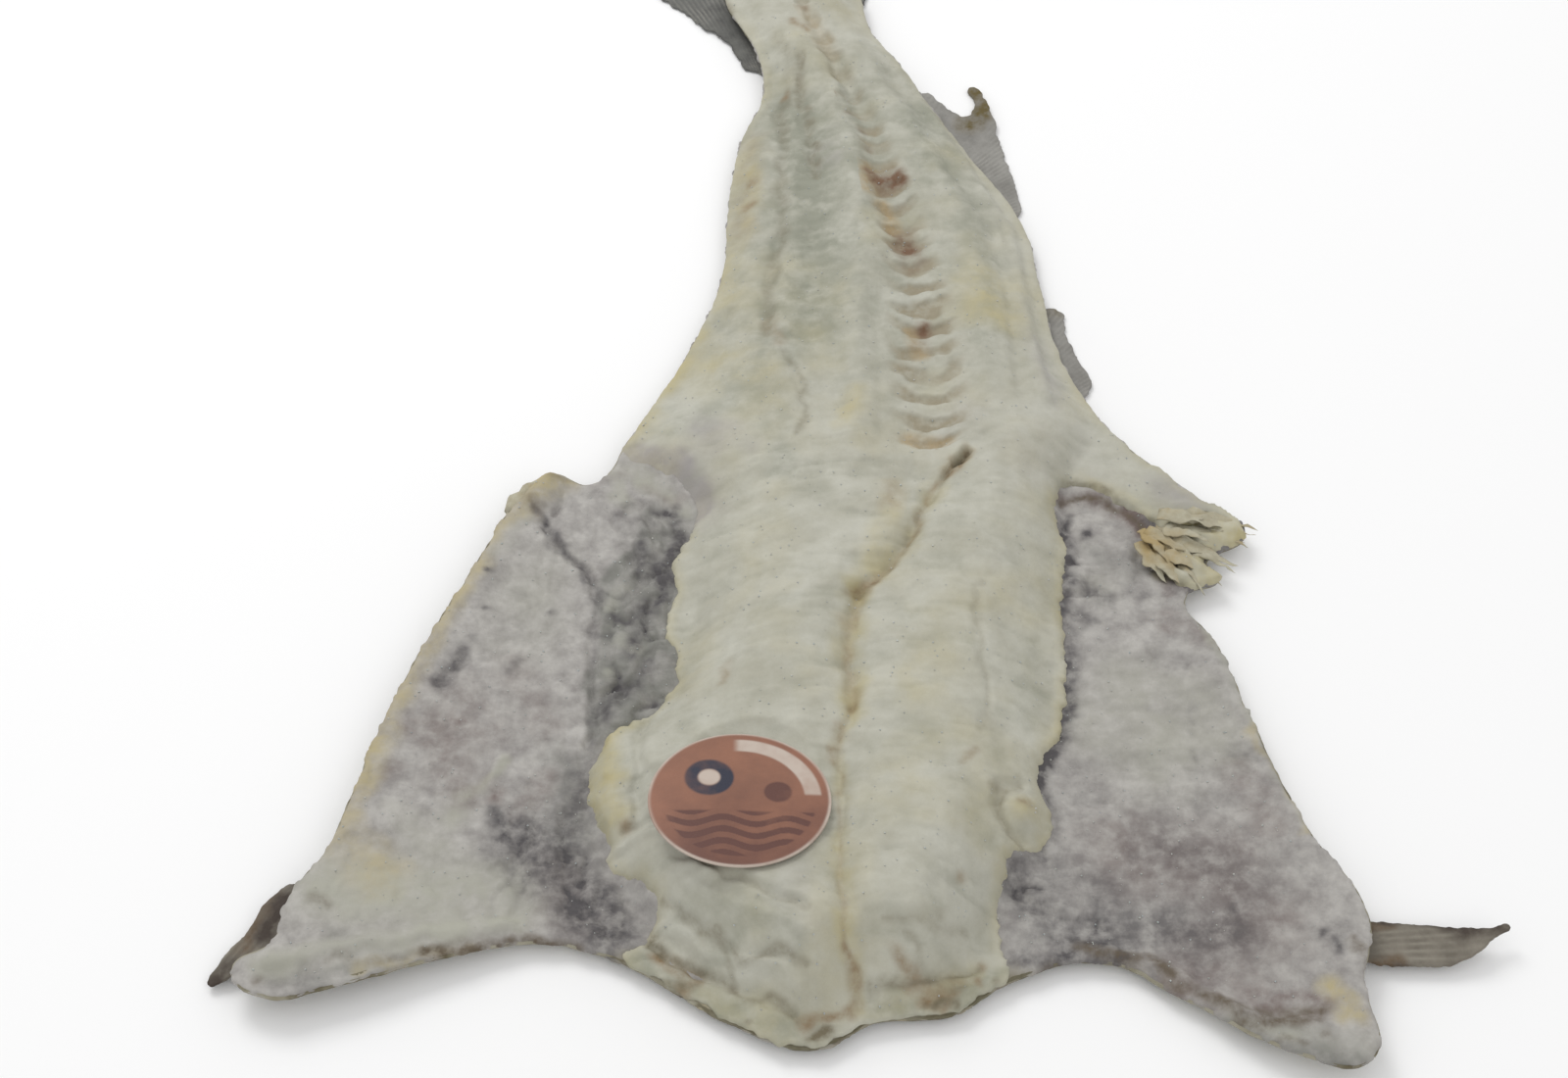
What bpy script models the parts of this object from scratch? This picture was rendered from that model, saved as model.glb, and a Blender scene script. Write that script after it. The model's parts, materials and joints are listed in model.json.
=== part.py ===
"""A whole salted dried cod: beheaded, split from the belly, opened flat and dried, with a round
price tag lying on the flesh.

The fish lies skin side down and flesh side up. The drawing frame is in millimetres: +Y runs to
the tail, +X is to the right with the tail pointing away, and Z is 0 on the table. At the end
the parts are moved so that the origin is the bottom centre of the whole fish.
"""

import math

import bmesh
import bpy
import numpy as np
from mathutils import Matrix, Vector

MM = 0.001
GAP = 0.4  # clearance between two pieces that touch on the real fish

# ---------------------------------------------------------------- driving dimensions, mm
GRID = 8.5  # spacing of the lines that shape the faces of the body
EDGE_THICKNESS = 3.0  # of the dried flesh and skin at the rim
FLAP_THICKNESS = 5.0  # of a belly flap, inwards of its rim
LOIN_FOOT = 7.0  # thickness where a loin rises from its flap
EDGE_RISE = 3.5  # how far the rim curls off the table
EDGE_RISE_WIDTH = 16.0
TAIL_RISE = 2.4  # the end of the body lies on the tail fin
TAIL_RISE_FROM, TAIL_RISE_TO = 262.0, 285.0
WING_LIFT = 6.0  # how far the ends of the collar warp up off the table
WING_LIFT_FROM = 85.0  # sideways from the spine, where the lift starts and is complete
WING_LIFT_TO = 175.0

# The rim, as knots of a smooth closed curve. The collar is the edge that the head was cut from.
COLLAR = [
    (-182, -201), (-170, -211), (-148, -207), (-112, -194), (-80, -187), (-55, -194),
    (-20, -216), (10, -227), (30, -217), (56, -214), (74, -202), (106, -194),
    (135, -211), (165, -231), (188, -235),
]
RIGHT_SIDE = [
    (191, -205), (196, -180), (180, -143), (167, -95), (160, -62), (151, -34), (164, -27),
    (160, -18), (176, -5), (160, 17), (131, 51), (114, 90), (107, 138),
    (103, 174), (80, 226), (55, 281), (40, 311), (33, 345),
]
TAIL_STALK = [(22, 372), (-4, 388), (-26, 376), (-28, 340)]
LEFT_SIDE = [
    (-12, 293), (-9, 267), (-19, 231), (-24, 184), (-26, 143), (-39, 97),
    (-61, 47), (-76, 21), (-91, 25), (-102, 11), (-116, -22), (-133, -65),
    (-145, -105), (-152, -136), (-157, -154), (-167, -172), (-170, -190),
]

# Lines that run along the fish, as (y, x) stations.
SPINE = [
    (-228, 12), (-208, 22), (-168, 17), (-118, 19), (-66, 25), (-46, 28), (-16, 47),
    (24, 56), (96, 57), (152, 52), (198, 44), (238, 36), (290, 20), (336, 5), (390, -12),
]
LEFT_LOIN = [
    (-228, -18), (-200, -30), (-182, -43), (-157, -60), (-112, -67), (-84, -43), (-7, -38),
    (8, -36), (40, -66), (66, -55), (100, -42), (145, -27), (232, -20), (268, -9),
    (300, -15), (345, -28), (390, -28),
]
RIGHT_LOIN = [
    (-228, 50), (-200, 60), (-165, 78), (-142, 91), (-118, 96), (-68, 103), (-8, 107),
    (25, 112), (60, 128), (92, 114), (140, 107), (176, 103), (228, 80), (282, 55),
    (312, 40), (345, 33), (390, 20),
]
# Thickness of the loins at their crest, as (y, thickness) stations.
CREST = [
    (-228, 16), (-205, 24), (-178, 30), (-148, 27), (-118, 23.5), (-90, 22.5), (-50, 22),
    (0, 20.5), (50, 18.5), (100, 17), (150, 15), (200, 13.5), (250, 12), (300, 10.5),
    (345, 9), (390, 5),
]
CREST_AT = 0.32  # share of the way from the foot of a loin to the spine
SEAM_FROM = 0.76  # where the loin starts to fall to the seam along the spine
SEAM_DROP = 0.28  # share of the crest that the seam lies lower

# The length of backbone that the splitter leaves in the tail half.
BACKBONE_FROM, BACKBONE_TO = 30.0, 336.0  # y
BACKBONE_HALF_WIDTH = [(30, 11.5), (70, 13.5), (110, 13.0), (152, 11.0), (238, 7.5), (336, 4.5)]
BACKBONE_FLATNESS = 0.45  # height of its section for its width
VERTEBRA = 12.0  # pitch
VERTEBRA_POINTS = 2  # points of the path for each vertebra
VERTEBRA_WAIST = 0.10  # how far each vertebra is pinched, as a share of its radius

TAG_RADIUS, TAG_THICKNESS = 31.0, 1.2
TAG_CENTRE = (-15.0, -146.0)
TAG_TILT = (-8.0, 3.0)  # degrees about X and Y

# The fins, each a thin blade whose root lies under the rim of the body.
FIN_THICKNESS = 1.4
PECTORAL_RIGHT = [
    (176, -199), (195, -196), (213, -196), (228, -190), (243, -180), (234, -177),
    (216, -176), (199, -175), (182, -177),
]
PECTORAL_LEFT = [
    (-160, -164), (-166, -163), (-175, -170), (-181, -183), (-189, -195), (-191, -202),
    (-184, -199), (-172, -196), (-162, -186),
]
ANAL_FRONT = [
    (112, 76), (121, 76), (125, 82), (121, 97), (117, 113), (114, 128), (108, 127),
    (108, 108),
]
ANAL_REAR = [
    (93, 189), (101, 188), (101, 206), (97, 228), (94, 250), (89, 277), (85, 271),
    (81, 256), (73, 268), (64, 274), (60, 262), (73, 232), (86, 206),
]
TAIL_FIN = [
    (-2, 292), (-12, 288), (-26, 310), (-46, 332), (-62, 352), (-78, 381), (-91, 412),
    (-94, 428), (-74, 425), (-48, 424), (-22, 427), (4, 434), (20, 437), (27, 424),
    (31, 398), (36, 366), (38, 342), (31, 330), (12, 336),
]

CREAM = (0.62, 0.58, 0.44)
BONE = (0.55, 0.50, 0.36)
FIN_BROWN = (0.16, 0.13, 0.10)
FIN_GREY = (0.22, 0.22, 0.20)
COPPER = (0.42, 0.18, 0.10)


# ---------------------------------------------------------------- small tools
def clear_scene():
    for thing in list(bpy.data.objects):
        bpy.data.objects.remove(thing, do_unlink=True)


def material(name, colour, roughness, metallic=0.0):
    made = bpy.data.materials.new(name)
    made.use_nodes = True
    shader = made.node_tree.nodes["Principled BSDF"]
    shader.inputs["Base Color"].default_value = (*colour, 1.0)
    shader.inputs["Roughness"].default_value = roughness
    shader.inputs["Metallic"].default_value = metallic
    return made


def collection(name, hidden=False):
    made = bpy.data.collections.new(name)
    made.hide_render = hidden
    bpy.context.scene.collection.children.link(made)
    return made


def smoothstep(start, end, value):
    share = np.clip((value - start) / (end - start), 0.0, 1.0)
    return share * share * (3.0 - 2.0 * share)


def along(stations, at):
    """A smooth line through (position, value) stations: a cubic with averaged slopes."""
    knots, values = np.array(stations, float).T
    slopes = np.gradient(values, knots)
    at = np.clip(at, knots[0], knots[-1])
    i = np.clip(np.searchsorted(knots, at) - 1, 0, len(knots) - 2)
    step = knots[i + 1] - knots[i]
    t = (at - knots[i]) / step
    return (
        values[i] * (1 + 2 * t) * (1 - t) ** 2
        + slopes[i] * step * t * (1 - t) ** 2
        + values[i + 1] * t * t * (3 - 2 * t)
        + slopes[i + 1] * step * t * t * (t - 1)
    )


def distance_to_loop(points, loop):
    """Distance from each point to a closed polyline."""
    nearest = np.full(len(points), np.inf)
    for start, end in zip(loop, np.roll(loop, -1, axis=0)):
        side = end - start
        t = np.clip((points - start) @ side / max(side @ side, 1e-12), 0.0, 1.0)
        gap = np.linalg.norm(points - start - t[:, None] * side, axis=1)
        nearest = np.minimum(nearest, gap)
    return nearest


# ---------------------------------------------------------------- the form of the fish
def underside(x, y, rim_distance):
    """Height of the skin above the table: flat under the loins, curled up towards the rim."""
    sideways = np.abs(x - along(SPINE, y))
    lift = WING_LIFT * smoothstep(WING_LIFT_FROM, WING_LIFT_TO, sideways)
    lift += TAIL_RISE * smoothstep(TAIL_RISE_FROM, TAIL_RISE_TO, y)
    return lift + EDGE_RISE * (1.0 - smoothstep(0.0, EDGE_RISE_WIDTH, rim_distance))


def loin_share(x, y):
    """0 on the flaps and at the foot of a loin, 1 on its crest, less in the seam."""
    spine = along(SPINE, y)
    foot = np.where(x < spine, along(LEFT_LOIN, y), along(RIGHT_LOIN, y))
    inwards = np.clip((x - foot) / (spine - foot), 0.0, 1.0)
    rise = np.sin(0.5 * math.pi * np.minimum(inwards / CREST_AT, 1.0)) ** 0.8
    return rise - SEAM_DROP * smoothstep(SEAM_FROM, 1.0, inwards)


def thickness(x, y, rim_distance):
    share = loin_share(x, y)
    whole = FLAP_THICKNESS + share * (along(CREST, y) - FLAP_THICKNESS)
    whole += (LOIN_FOOT - FLAP_THICKNESS) * smoothstep(0.0, 0.05, share)
    nape = smoothstep(-175.0, -195.0, y) * (1.0 - smoothstep(45.0, 75.0, np.abs(x - 12.0)))
    rim_width = 15.0 - 10.0 * nape
    return EDGE_THICKNESS + (whole - EDGE_THICKNESS) * smoothstep(0.0, rim_width, rim_distance)


def flesh_height(x, y, rim_distance):
    """Height of the flesh side above the table."""
    return underside(x, y, rim_distance) + thickness(x, y, rim_distance)


# ---------------------------------------------------------------- pieces
def flat_curve(name, knots, half_thickness, steps=2):
    """A closed 2D outline through the knots, filled and given its thickness."""
    curve = bpy.data.curves.new(name, "CURVE")
    curve.dimensions = "2D"
    curve.fill_mode = "BOTH"
    curve.extrude = half_thickness * MM
    curve.resolution_u = steps
    spline = curve.splines.new("BEZIER")
    spline.bezier_points.add(len(knots) - 1)
    for point, (x, y) in zip(spline.bezier_points, knots):
        point.co = (x * MM, y * MM, 0.0)
        point.handle_left_type = point.handle_right_type = "AUTO"
    spline.use_cyclic_u = True
    return bpy.data.objects.new(name, curve)


def as_mesh(curve_object, into):
    """The curve object as a mesh object of the same name, its caps welded to its sides."""
    bpy.context.scene.collection.objects.link(curve_object)
    bpy.context.view_layer.update()
    graph = bpy.context.evaluated_depsgraph_get()
    mesh = bpy.data.meshes.new_from_object(curve_object.evaluated_get(graph))
    name, matrix = curve_object.name, curve_object.matrix_world.copy()
    bpy.data.objects.remove(curve_object, do_unlink=True)
    shape = bmesh.new()
    shape.from_mesh(mesh)
    bmesh.ops.remove_doubles(shape, verts=shape.verts, dist=1e-6)
    shape.to_mesh(mesh)
    shape.free()
    made = bpy.data.objects.new(name, mesh)
    made.matrix_world = matrix
    into.objects.link(made)
    return made


def cut_into_cells(shape, spacing):
    """Cuts the slab along lines in X and Y, so that its faces can follow the relief."""
    for axis in (0, 1):
        places = [vertex.co[axis] for vertex in shape.verts]
        normal = Vector((axis == 0, axis == 1, 0))
        first = math.ceil(min(places) / spacing)
        last = math.floor(max(places) / spacing)
        for line in range(first, last + 1):
            geometry = shape.verts[:] + shape.edges[:] + shape.faces[:]
            bmesh.ops.bisect_plane(
                shape, geom=geometry, dist=1e-6, plane_co=normal * line * spacing, plane_no=normal
            )


def rim_loop(shape):
    """The corners of the slab's top rim, in order, in mm."""
    walls = [e for e in shape.edges if all(v.co.z > 0 for v in e.verts)]
    walls = {e for e in walls if any(abs(f.normal.z) < 0.5 for f in e.link_faces)}
    edge = next(iter(walls))
    start, corner = edge.verts
    loop = [start]
    while corner is not start:
        loop.append(corner)
        edge = next(e for e in corner.link_edges if e in walls and e is not edge)
        corner = edge.other_vert(corner)
    return np.array([(v.co.x, v.co.y) for v in loop]) / MM


def build_body(into):
    """The fish itself: one slab of flesh and skin between its rim, shaped by the two height
    functions."""
    outline = COLLAR + RIGHT_SIDE + TAIL_STALK + LEFT_SIDE
    body = as_mesh(flat_curve("body", outline, 5.0), into)
    shape = bmesh.new()
    shape.from_mesh(body.data)
    loop = rim_loop(shape)
    bmesh.ops.dissolve_limit(
        shape, angle_limit=math.radians(0.1), verts=shape.verts, edges=shape.edges
    )
    cut_into_cells(shape, GRID * MM)
    shape.verts.ensure_lookup_table()
    places = np.array([vertex.co for vertex in shape.verts]) / MM
    x, y, above = places[:, 0], places[:, 1], places[:, 2] > 0
    inside = distance_to_loop(places[:, :2], loop)
    bottom = underside(x, y, inside)
    heights = np.where(above, bottom + thickness(x, y, inside), bottom)
    flat = [
        face for face in shape.faces
        if all(heights[v.index] < 1e-6 and not above[v.index] for v in face.verts)
    ]
    for vertex, height in zip(shape.verts, heights):
        vertex.co.z = height * MM
    bmesh.ops.dissolve_faces(shape, faces=flat)
    bmesh.ops.triangulate(shape, faces=shape.faces)
    shape.to_mesh(body.data)
    shape.free()
    body.data.materials.append(material("cod_flesh", CREAM, 0.75))
    return body, loop


def spine_point(y, loop, sink=0.0):
    x = along(SPINE, y)
    inside = distance_to_loop(np.array([[x, y]]), loop)
    return Vector((x, y, flesh_height(x, y, inside)[0] - sink))


def backbone_tube(name, loop, extra, into):
    """A row of vertebrae along the spine: a flattened tube that is pinched between them."""
    curve = bpy.data.curves.new(name, "CURVE")
    curve.dimensions = "3D"
    curve.bevel_depth = MM
    curve.bevel_resolution = 1
    curve.use_fill_caps = True
    count = round((BACKBONE_TO - BACKBONE_FROM) / VERTEBRA) * VERTEBRA_POINTS
    places = np.linspace(BACKBONE_FROM - extra, BACKBONE_TO + extra, count + 1)
    spline = curve.splines.new("POLY")
    spline.points.add(count)
    for i, (point, y) in enumerate(zip(spline.points, places)):
        point.co = (*(spine_point(y, loop) * MM), 1.0)
        waist = 1.0 - VERTEBRA_WAIST * math.cos(2 * math.pi * i / VERTEBRA_POINTS)
        point.radius = float(along(BACKBONE_HALF_WIDTH, y)) * waist + extra
    tube = as_mesh(bpy.data.objects.new(name, curve), into)
    squeeze = BACKBONE_FLATNESS + (0.04 if extra else 0.0)
    for vertex in tube.data.vertices:
        middle = spine_point(vertex.co.y / MM, loop).z * MM
        vertex.co.z = middle + squeeze * (vertex.co.z - middle)
    return tube


def build_backbone(body, loop, into, cutters):
    """The backbone lies half sunk in the flesh, in a bed that is cut a gap wider."""
    backbone = backbone_tube("backbone", loop, 0.0, into)
    backbone.data.materials.append(material("cod_bone", BONE, 0.6))
    bed = backbone_tube("backbone_bed", loop, GAP, cutters)
    bed.hide_render = True
    bed.display_type = "WIRE"
    cut = body.modifiers.new("backbone_bed", "BOOLEAN")
    cut.operation = "DIFFERENCE"
    cut.object = bed


def build_fin(name, knots, height, tilt, colour, into):
    """A dried fin: a thin blade with a rounded outline, lying at a height above the table and
    turned by tilt, in degrees about X and Y, about its own middle."""
    middle = np.mean(knots, axis=0)
    local = [tuple(np.array(knot) - middle) for knot in knots]
    fin = as_mesh(flat_curve(name, local, FIN_THICKNESS / 2, steps=3), into)
    turn = Matrix.Rotation(math.radians(tilt[0]), 4, "X") @ Matrix.Rotation(
        math.radians(tilt[1]), 4, "Y"
    )
    fin.matrix_world = Matrix.Translation(Vector((*middle, height)) * MM) @ turn
    fin.data.materials.append(material(name, colour, 0.7))
    return fin


def build_tag(loop, into):
    """The round card tag that lies aslant on the left loin, a gap above its highest points."""
    turn = Matrix.Rotation(math.radians(TAG_TILT[0]), 4, "X") @ Matrix.Rotation(
        math.radians(TAG_TILT[1]), 4, "Y"
    )
    normal = turn @ Vector((0, 0, 1))
    rings, turns = np.meshgrid(np.linspace(0, TAG_RADIUS, 9), np.linspace(0, 2 * math.pi, 49))
    dx, dy = (rings * np.cos(turns)).ravel(), (rings * np.sin(turns)).ravel()
    x, y = TAG_CENTRE[0] + dx, TAG_CENTRE[1] + dy
    flesh = flesh_height(x, y, distance_to_loop(np.column_stack((x, y)), loop))
    plane = -(normal.x * dx + normal.y * dy) / normal.z
    height = float(np.max(flesh - plane)) + GAP + TAG_THICKNESS / 2
    bpy.ops.mesh.primitive_cylinder_add(
        vertices=48, radius=TAG_RADIUS * MM, depth=TAG_THICKNESS * MM
    )
    tag = bpy.context.object
    tag.name = "tag"
    for owner in list(tag.users_collection):
        owner.objects.unlink(tag)
    into.objects.link(tag)
    tag.matrix_world = Matrix.Translation(Vector((*TAG_CENTRE, height)) * MM) @ turn
    tag.data.materials.append(material("tag_copper", COPPER, 0.35))


def centre_on_floor(pieces):
    """Moves everything so that the origin is the bottom centre of the whole fish."""
    bpy.context.view_layer.update()
    corners = np.array([
        piece.matrix_world @ vertex.co for piece in pieces for vertex in piece.data.vertices
    ])
    low, high = corners.min(axis=0), corners.max(axis=0)
    shift = Vector((-(low[0] + high[0]) / 2, -(low[1] + high[1]) / 2, -low[2]))
    for thing in bpy.data.objects:
        thing.matrix_world = Matrix.Translation(shift) @ thing.matrix_world


def main():
    clear_scene()
    fish = collection("salted_dried_cod")
    cutters = collection("cutters", hidden=True)
    body, loop = build_body(fish)
    build_backbone(body, loop, fish, cutters)
    build_fin("pectoral_fin_right", PECTORAL_RIGHT, 3.9, (0, 0.5), FIN_BROWN, fish)
    build_fin("pectoral_fin_left", PECTORAL_LEFT, 5.0, (0, 5.0), FIN_BROWN, fish)
    build_fin("anal_fin_front", ANAL_FRONT, 0.9, (0, 0), FIN_GREY, fish)
    build_fin("anal_fin_rear", ANAL_REAR, 0.9, (0, 0), FIN_GREY, fish)
    build_fin("tail_fin", TAIL_FIN, 0.8, (0, 0), FIN_GREY, fish)
    build_tag(loop, fish)
    centre_on_floor(list(fish.objects))


main()
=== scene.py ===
# %% [markdown]
# # A salted dried cod
#
# A cod for salting is beheaded, split from the belly and opened flat like a book. Salt and air
# then dry it as stiff as a board. What lies on the table is the inside of the fish: two thick
# cream loins either side of a seam, the grey lining of the belly on the flaps beside them, and
# in the tail half a length of backbone. The skin is underneath.
#
# The solids of the fish give its place and size. Every visible piece is built again here, with
# its creases, ragged edges and stains, and stands for one of those solids.

# %% Load the fixed frame
import json
import math

import bpy
import numpy as np
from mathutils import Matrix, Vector, kdtree
from mathutils.geometry import delaunay_2d_cdt

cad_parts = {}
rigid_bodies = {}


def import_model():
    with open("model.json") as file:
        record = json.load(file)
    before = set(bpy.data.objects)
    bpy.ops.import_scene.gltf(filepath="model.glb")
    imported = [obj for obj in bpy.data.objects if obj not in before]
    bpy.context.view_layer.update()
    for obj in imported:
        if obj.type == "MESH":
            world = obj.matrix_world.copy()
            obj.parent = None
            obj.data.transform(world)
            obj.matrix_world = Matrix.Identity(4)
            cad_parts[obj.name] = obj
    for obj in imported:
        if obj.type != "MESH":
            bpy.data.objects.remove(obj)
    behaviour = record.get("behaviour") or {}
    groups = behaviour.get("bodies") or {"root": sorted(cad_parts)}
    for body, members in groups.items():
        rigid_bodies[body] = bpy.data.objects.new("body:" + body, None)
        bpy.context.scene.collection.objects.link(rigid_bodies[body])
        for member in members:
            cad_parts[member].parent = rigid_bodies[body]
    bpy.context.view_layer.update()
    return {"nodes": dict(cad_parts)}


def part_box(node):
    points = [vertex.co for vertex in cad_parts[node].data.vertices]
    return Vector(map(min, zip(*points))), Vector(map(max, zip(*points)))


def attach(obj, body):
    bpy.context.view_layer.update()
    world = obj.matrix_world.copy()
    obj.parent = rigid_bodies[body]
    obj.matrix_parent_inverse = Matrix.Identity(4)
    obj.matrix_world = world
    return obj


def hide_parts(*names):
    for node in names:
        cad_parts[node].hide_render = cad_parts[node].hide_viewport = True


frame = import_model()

# %% [markdown]
# The fish is drawn in millimetres, round a point on the table. +Y runs to the tail. The drawing
# is placed by the middle of the body's box, and turned into metres when a mesh is made.

# %% Place the drawing on the frame
MM = 0.001
DRAWN_MIDDLE = (7.0, 75.85)  # of the body's box, in the drawing
body_low, body_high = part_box("body")
SHIFT = Vector((
    (body_low.x + body_high.x) / 2 - DRAWN_MIDDLE[0] * MM,
    (body_low.y + body_high.y) / 2 - DRAWN_MIDDLE[1] * MM,
    0.0,
))
COARSER = 1.0  # wider spacing while trying things
print("drawing's point on the table, in metres:", [round(v, 4) for v in SHIFT])

# %% [markdown]
# ## Lines
#
# A rim can be drawn as a smooth closed line through a few knots. A cubic Bezier between each two
# knots, with its handles along the bend, never swings wide of them. A dried edge isn't smooth,
# so a fine noise then pushes the line in and out.

# %% Smooth closed lines
HANDLE_SHARE = 1 / 2.5614  # of the distance to the next knot, as Blender's automatic handles


def rounded(knots, step=1.0):
    """A smooth closed line through the knots, as points about step apart."""
    knots = np.array(knots, float)
    ahead = np.roll(knots, -1, axis=0) - knots
    reach = np.linalg.norm(ahead, axis=1, keepdims=True)
    bend = ahead / reach + np.roll(ahead / reach, 1, axis=0)
    bend /= np.linalg.norm(bend, axis=1, keepdims=True)
    points = []
    for i, knot in enumerate(knots):
        j = (i + 1) % len(knots)
        out = knot + bend[i] * reach[i] * HANDLE_SHARE
        back = knots[j] - bend[j] * reach[i] * HANDLE_SHARE
        t = np.linspace(0, 1, max(2, round(reach[i, 0] / step)), endpoint=False)[:, None]
        points.append(
            knot * (1 - t) ** 3 + out * 3 * t * (1 - t) ** 2
            + back * 3 * t * t * (1 - t) + knots[j] * t ** 3
        )
    return np.vstack(points)


def smoothstep(start, end, value):
    """0 at start and 1 at end with a soft blend between them. start may be the larger one."""
    share = np.clip((value - start) / (end - start), 0.0, 1.0)
    return share * share * (3.0 - 2.0 * share)


def along(stations, at):
    """A smooth line through (position, value) stations: a cubic with averaged slopes."""
    knots, values = np.array(stations, float).T
    slopes = np.gradient(values, knots)
    at = np.clip(at, knots[0], knots[-1])
    i = np.clip(np.searchsorted(knots, at) - 1, 0, len(knots) - 2)
    step = knots[i + 1] - knots[i]
    t = (at - knots[i]) / step
    return (
        values[i] * (1 + 2 * t) * (1 - t) ** 2 + slopes[i] * step * t * (1 - t) ** 2
        + values[i + 1] * t * t * (3 - 2 * t) + slopes[i + 1] * step * t * t * (t - 1)
    )


print("a rounded square of 9 mm:", len(rounded([(0, 0), (9, 0), (9, 9), (0, 9)])), "points")

# %% [markdown]
# ## Noise
#
# Creases, lumps and stains all start from smooth noise: random values on a grid, with a soft
# blend between them. Adding finer and finer noise gives the rough look of a natural surface.
# Noise that is wide one way and narrow the other way gives wrinkles.

# %% Noise in the plane
LATTICE = 256  # random values each way before the noise repeats
ORIGIN_X, ORIGIN_Y = 500.3, 500.7  # far off, so that no grid line crosses the drawing's middle
QUIET_TURN = 0.6  # radians between octaves, so that their grids don't line up
VALLEY_STEEPNESS = 2.5


def noise(x, y, size, seed):
    """Smooth noise from about -1 to 1. size is the width of its lumps in mm, or (x, y) widths."""
    wide, tall = size if isinstance(size, tuple) else (size, size)
    values = np.random.default_rng(seed).uniform(-1, 1, (LATTICE, LATTICE))
    u, v = np.asarray(x) / wide + ORIGIN_X, np.asarray(y) / tall + ORIGIN_Y
    i, j = np.floor(u).astype(int), np.floor(v).astype(int)
    s, t = u - i, v - j
    s, t = s * s * s * (s * (6 * s - 15) + 10), t * t * t * (t * (6 * t - 15) + 10)
    i, j, k, m = i % LATTICE, j % LATTICE, (i + 1) % LATTICE, (j + 1) % LATTICE
    near = values[i, j] * (1 - s) + values[k, j] * s
    far = values[i, m] * (1 - s) + values[k, m] * s
    return near * (1 - t) + far * t


def fractal(x, y, size, seed, octaves=4, fade=0.5):
    """Sums octaves of noise, each half as wide as the one before and fade times as strong."""
    total, strength = 0.0, 1.0
    for octave in range(octaves):
        turn = QUIET_TURN * octave
        u = x * math.cos(turn) - y * math.sin(turn)
        v = x * math.sin(turn) + y * math.cos(turn)
        total = total + strength * noise(u, v, size / 2 ** octave, seed + octave)
        strength *= fade
    return total


def creased(x, y, size, seed):
    """Noise with sharp valleys, 0 in a valley and 1 on the open ground, for folded skin."""
    return np.clip(np.abs(noise(x, y, size, seed)) * VALLEY_STEEPNESS, 0, 1)


def ragged(line, rough, size, seed):
    """Pushes a closed line in and out by up to about rough, in bumps about size long."""
    side = np.roll(line, -1, axis=0) - np.roll(line, 1, axis=0)
    side /= np.linalg.norm(side, axis=1, keepdims=True)
    push = rough * fractal(line[:, 0], line[:, 1], size, seed, octaves=3, fade=0.6)
    return line + np.column_stack((side[:, 1], -side[:, 0])) * push[:, None]


print("noise runs from", *np.round(np.quantile(noise(*np.mgrid[0:900:7, 0:900:7], 9, 1), (0, 1)), 2))

# %% [markdown]
# ## Marks
#
# Some creases and stains have a place of their own on this fish, such as the seam or the blood
# spots on the backbone. Each is a mark: a spot or a line of points, how wide it is, and how
# strong. The same list serves for colour and for relief. The ground under the marks is warped a
# little first, so that no mark keeps a ruled edge.

# %% Marks on the surface
WARP_SIZE = 9.0  # mm, the width of the warp's own lumps


def line_distance(x, y, points):
    """Distance to the nearest piece of a line of points, or to a single point."""
    points = np.array(points, float)
    if len(points) == 1:
        return np.hypot(x - points[0, 0], y - points[0, 1])
    nearest = np.full(np.shape(x), np.inf)
    for (ax, ay), (bx, by) in zip(points, points[1:]):
        dx, dy = bx - ax, by - ay
        t = np.clip(((x - ax) * dx + (y - ay) * dy) / (dx * dx + dy * dy), 0, 1)
        nearest = np.minimum(nearest, np.hypot(x - ax - t * dx, y - ay - t * dy))
    return nearest


def marked(x, y, marks, blend="paint", warp=1.5, seed=40):
    """Sums the marks: as paint from 0 to 1, or as relief in mm. A mark is (points, width,
    strength) and fades from its middle to nothing at its width."""
    u = x + warp * fractal(x, y, WARP_SIZE, seed, 2)
    v = y + warp * fractal(x, y, WARP_SIZE, seed + 7, 2)
    clear, relief = np.ones_like(u), np.zeros_like(u)
    for points, width, strength in marks:
        xs, ys = zip(*points)
        near = (u > min(xs) - width) & (u < max(xs) + width)
        near &= (v > min(ys) - width) & (v < max(ys) + width)
        fall = 1 - smoothstep(0.0, width, line_distance(u[near], v[near], points))
        clear[near] *= 1 - strength * fall
        relief[near] += strength * fall
    return relief if blend == "relief" else 1 - clear


dot = marked(np.array((0.0, 4.0, 8.0)), np.zeros(3), [([(0, 0)], 8.0, 1.0)], warp=0.0)
print("a dot of 8 mm, from its middle outwards:", dot.round(2))

# %% [markdown]
# ## The form of the fish
#
# These are the same stations as the solid's: lines along the fish for the spine and for the feet
# of the loins, and the loins' thickness. From them come two heights for any point: of the skin
# side above the table, and of the flesh side.

# %% Stations of the form
COLLAR = [
    (-182, -201), (-170, -211), (-148, -207), (-112, -194), (-80, -187), (-55, -194),
    (-20, -216), (10, -227), (30, -217), (56, -214), (74, -202), (106, -194),
    (135, -211), (165, -231), (188, -235),
]
RIGHT_SIDE = [
    (191, -205), (196, -180), (180, -143), (167, -95), (160, -62), (151, -34), (164, -27),
    (160, -18), (176, -5), (160, 17), (131, 51), (114, 90), (107, 138),
    (103, 174), (80, 226), (55, 281), (40, 311), (33, 345),
]
TAIL_STALK = [(22, 372), (-4, 388), (-26, 376), (-28, 340)]
LEFT_SIDE = [
    (-12, 293), (-9, 267), (-19, 231), (-24, 184), (-26, 143), (-39, 97),
    (-61, 47), (-76, 21), (-91, 25), (-102, 11), (-116, -22), (-133, -65),
    (-145, -105), (-152, -136), (-157, -154), (-167, -172), (-170, -190),
]
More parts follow.
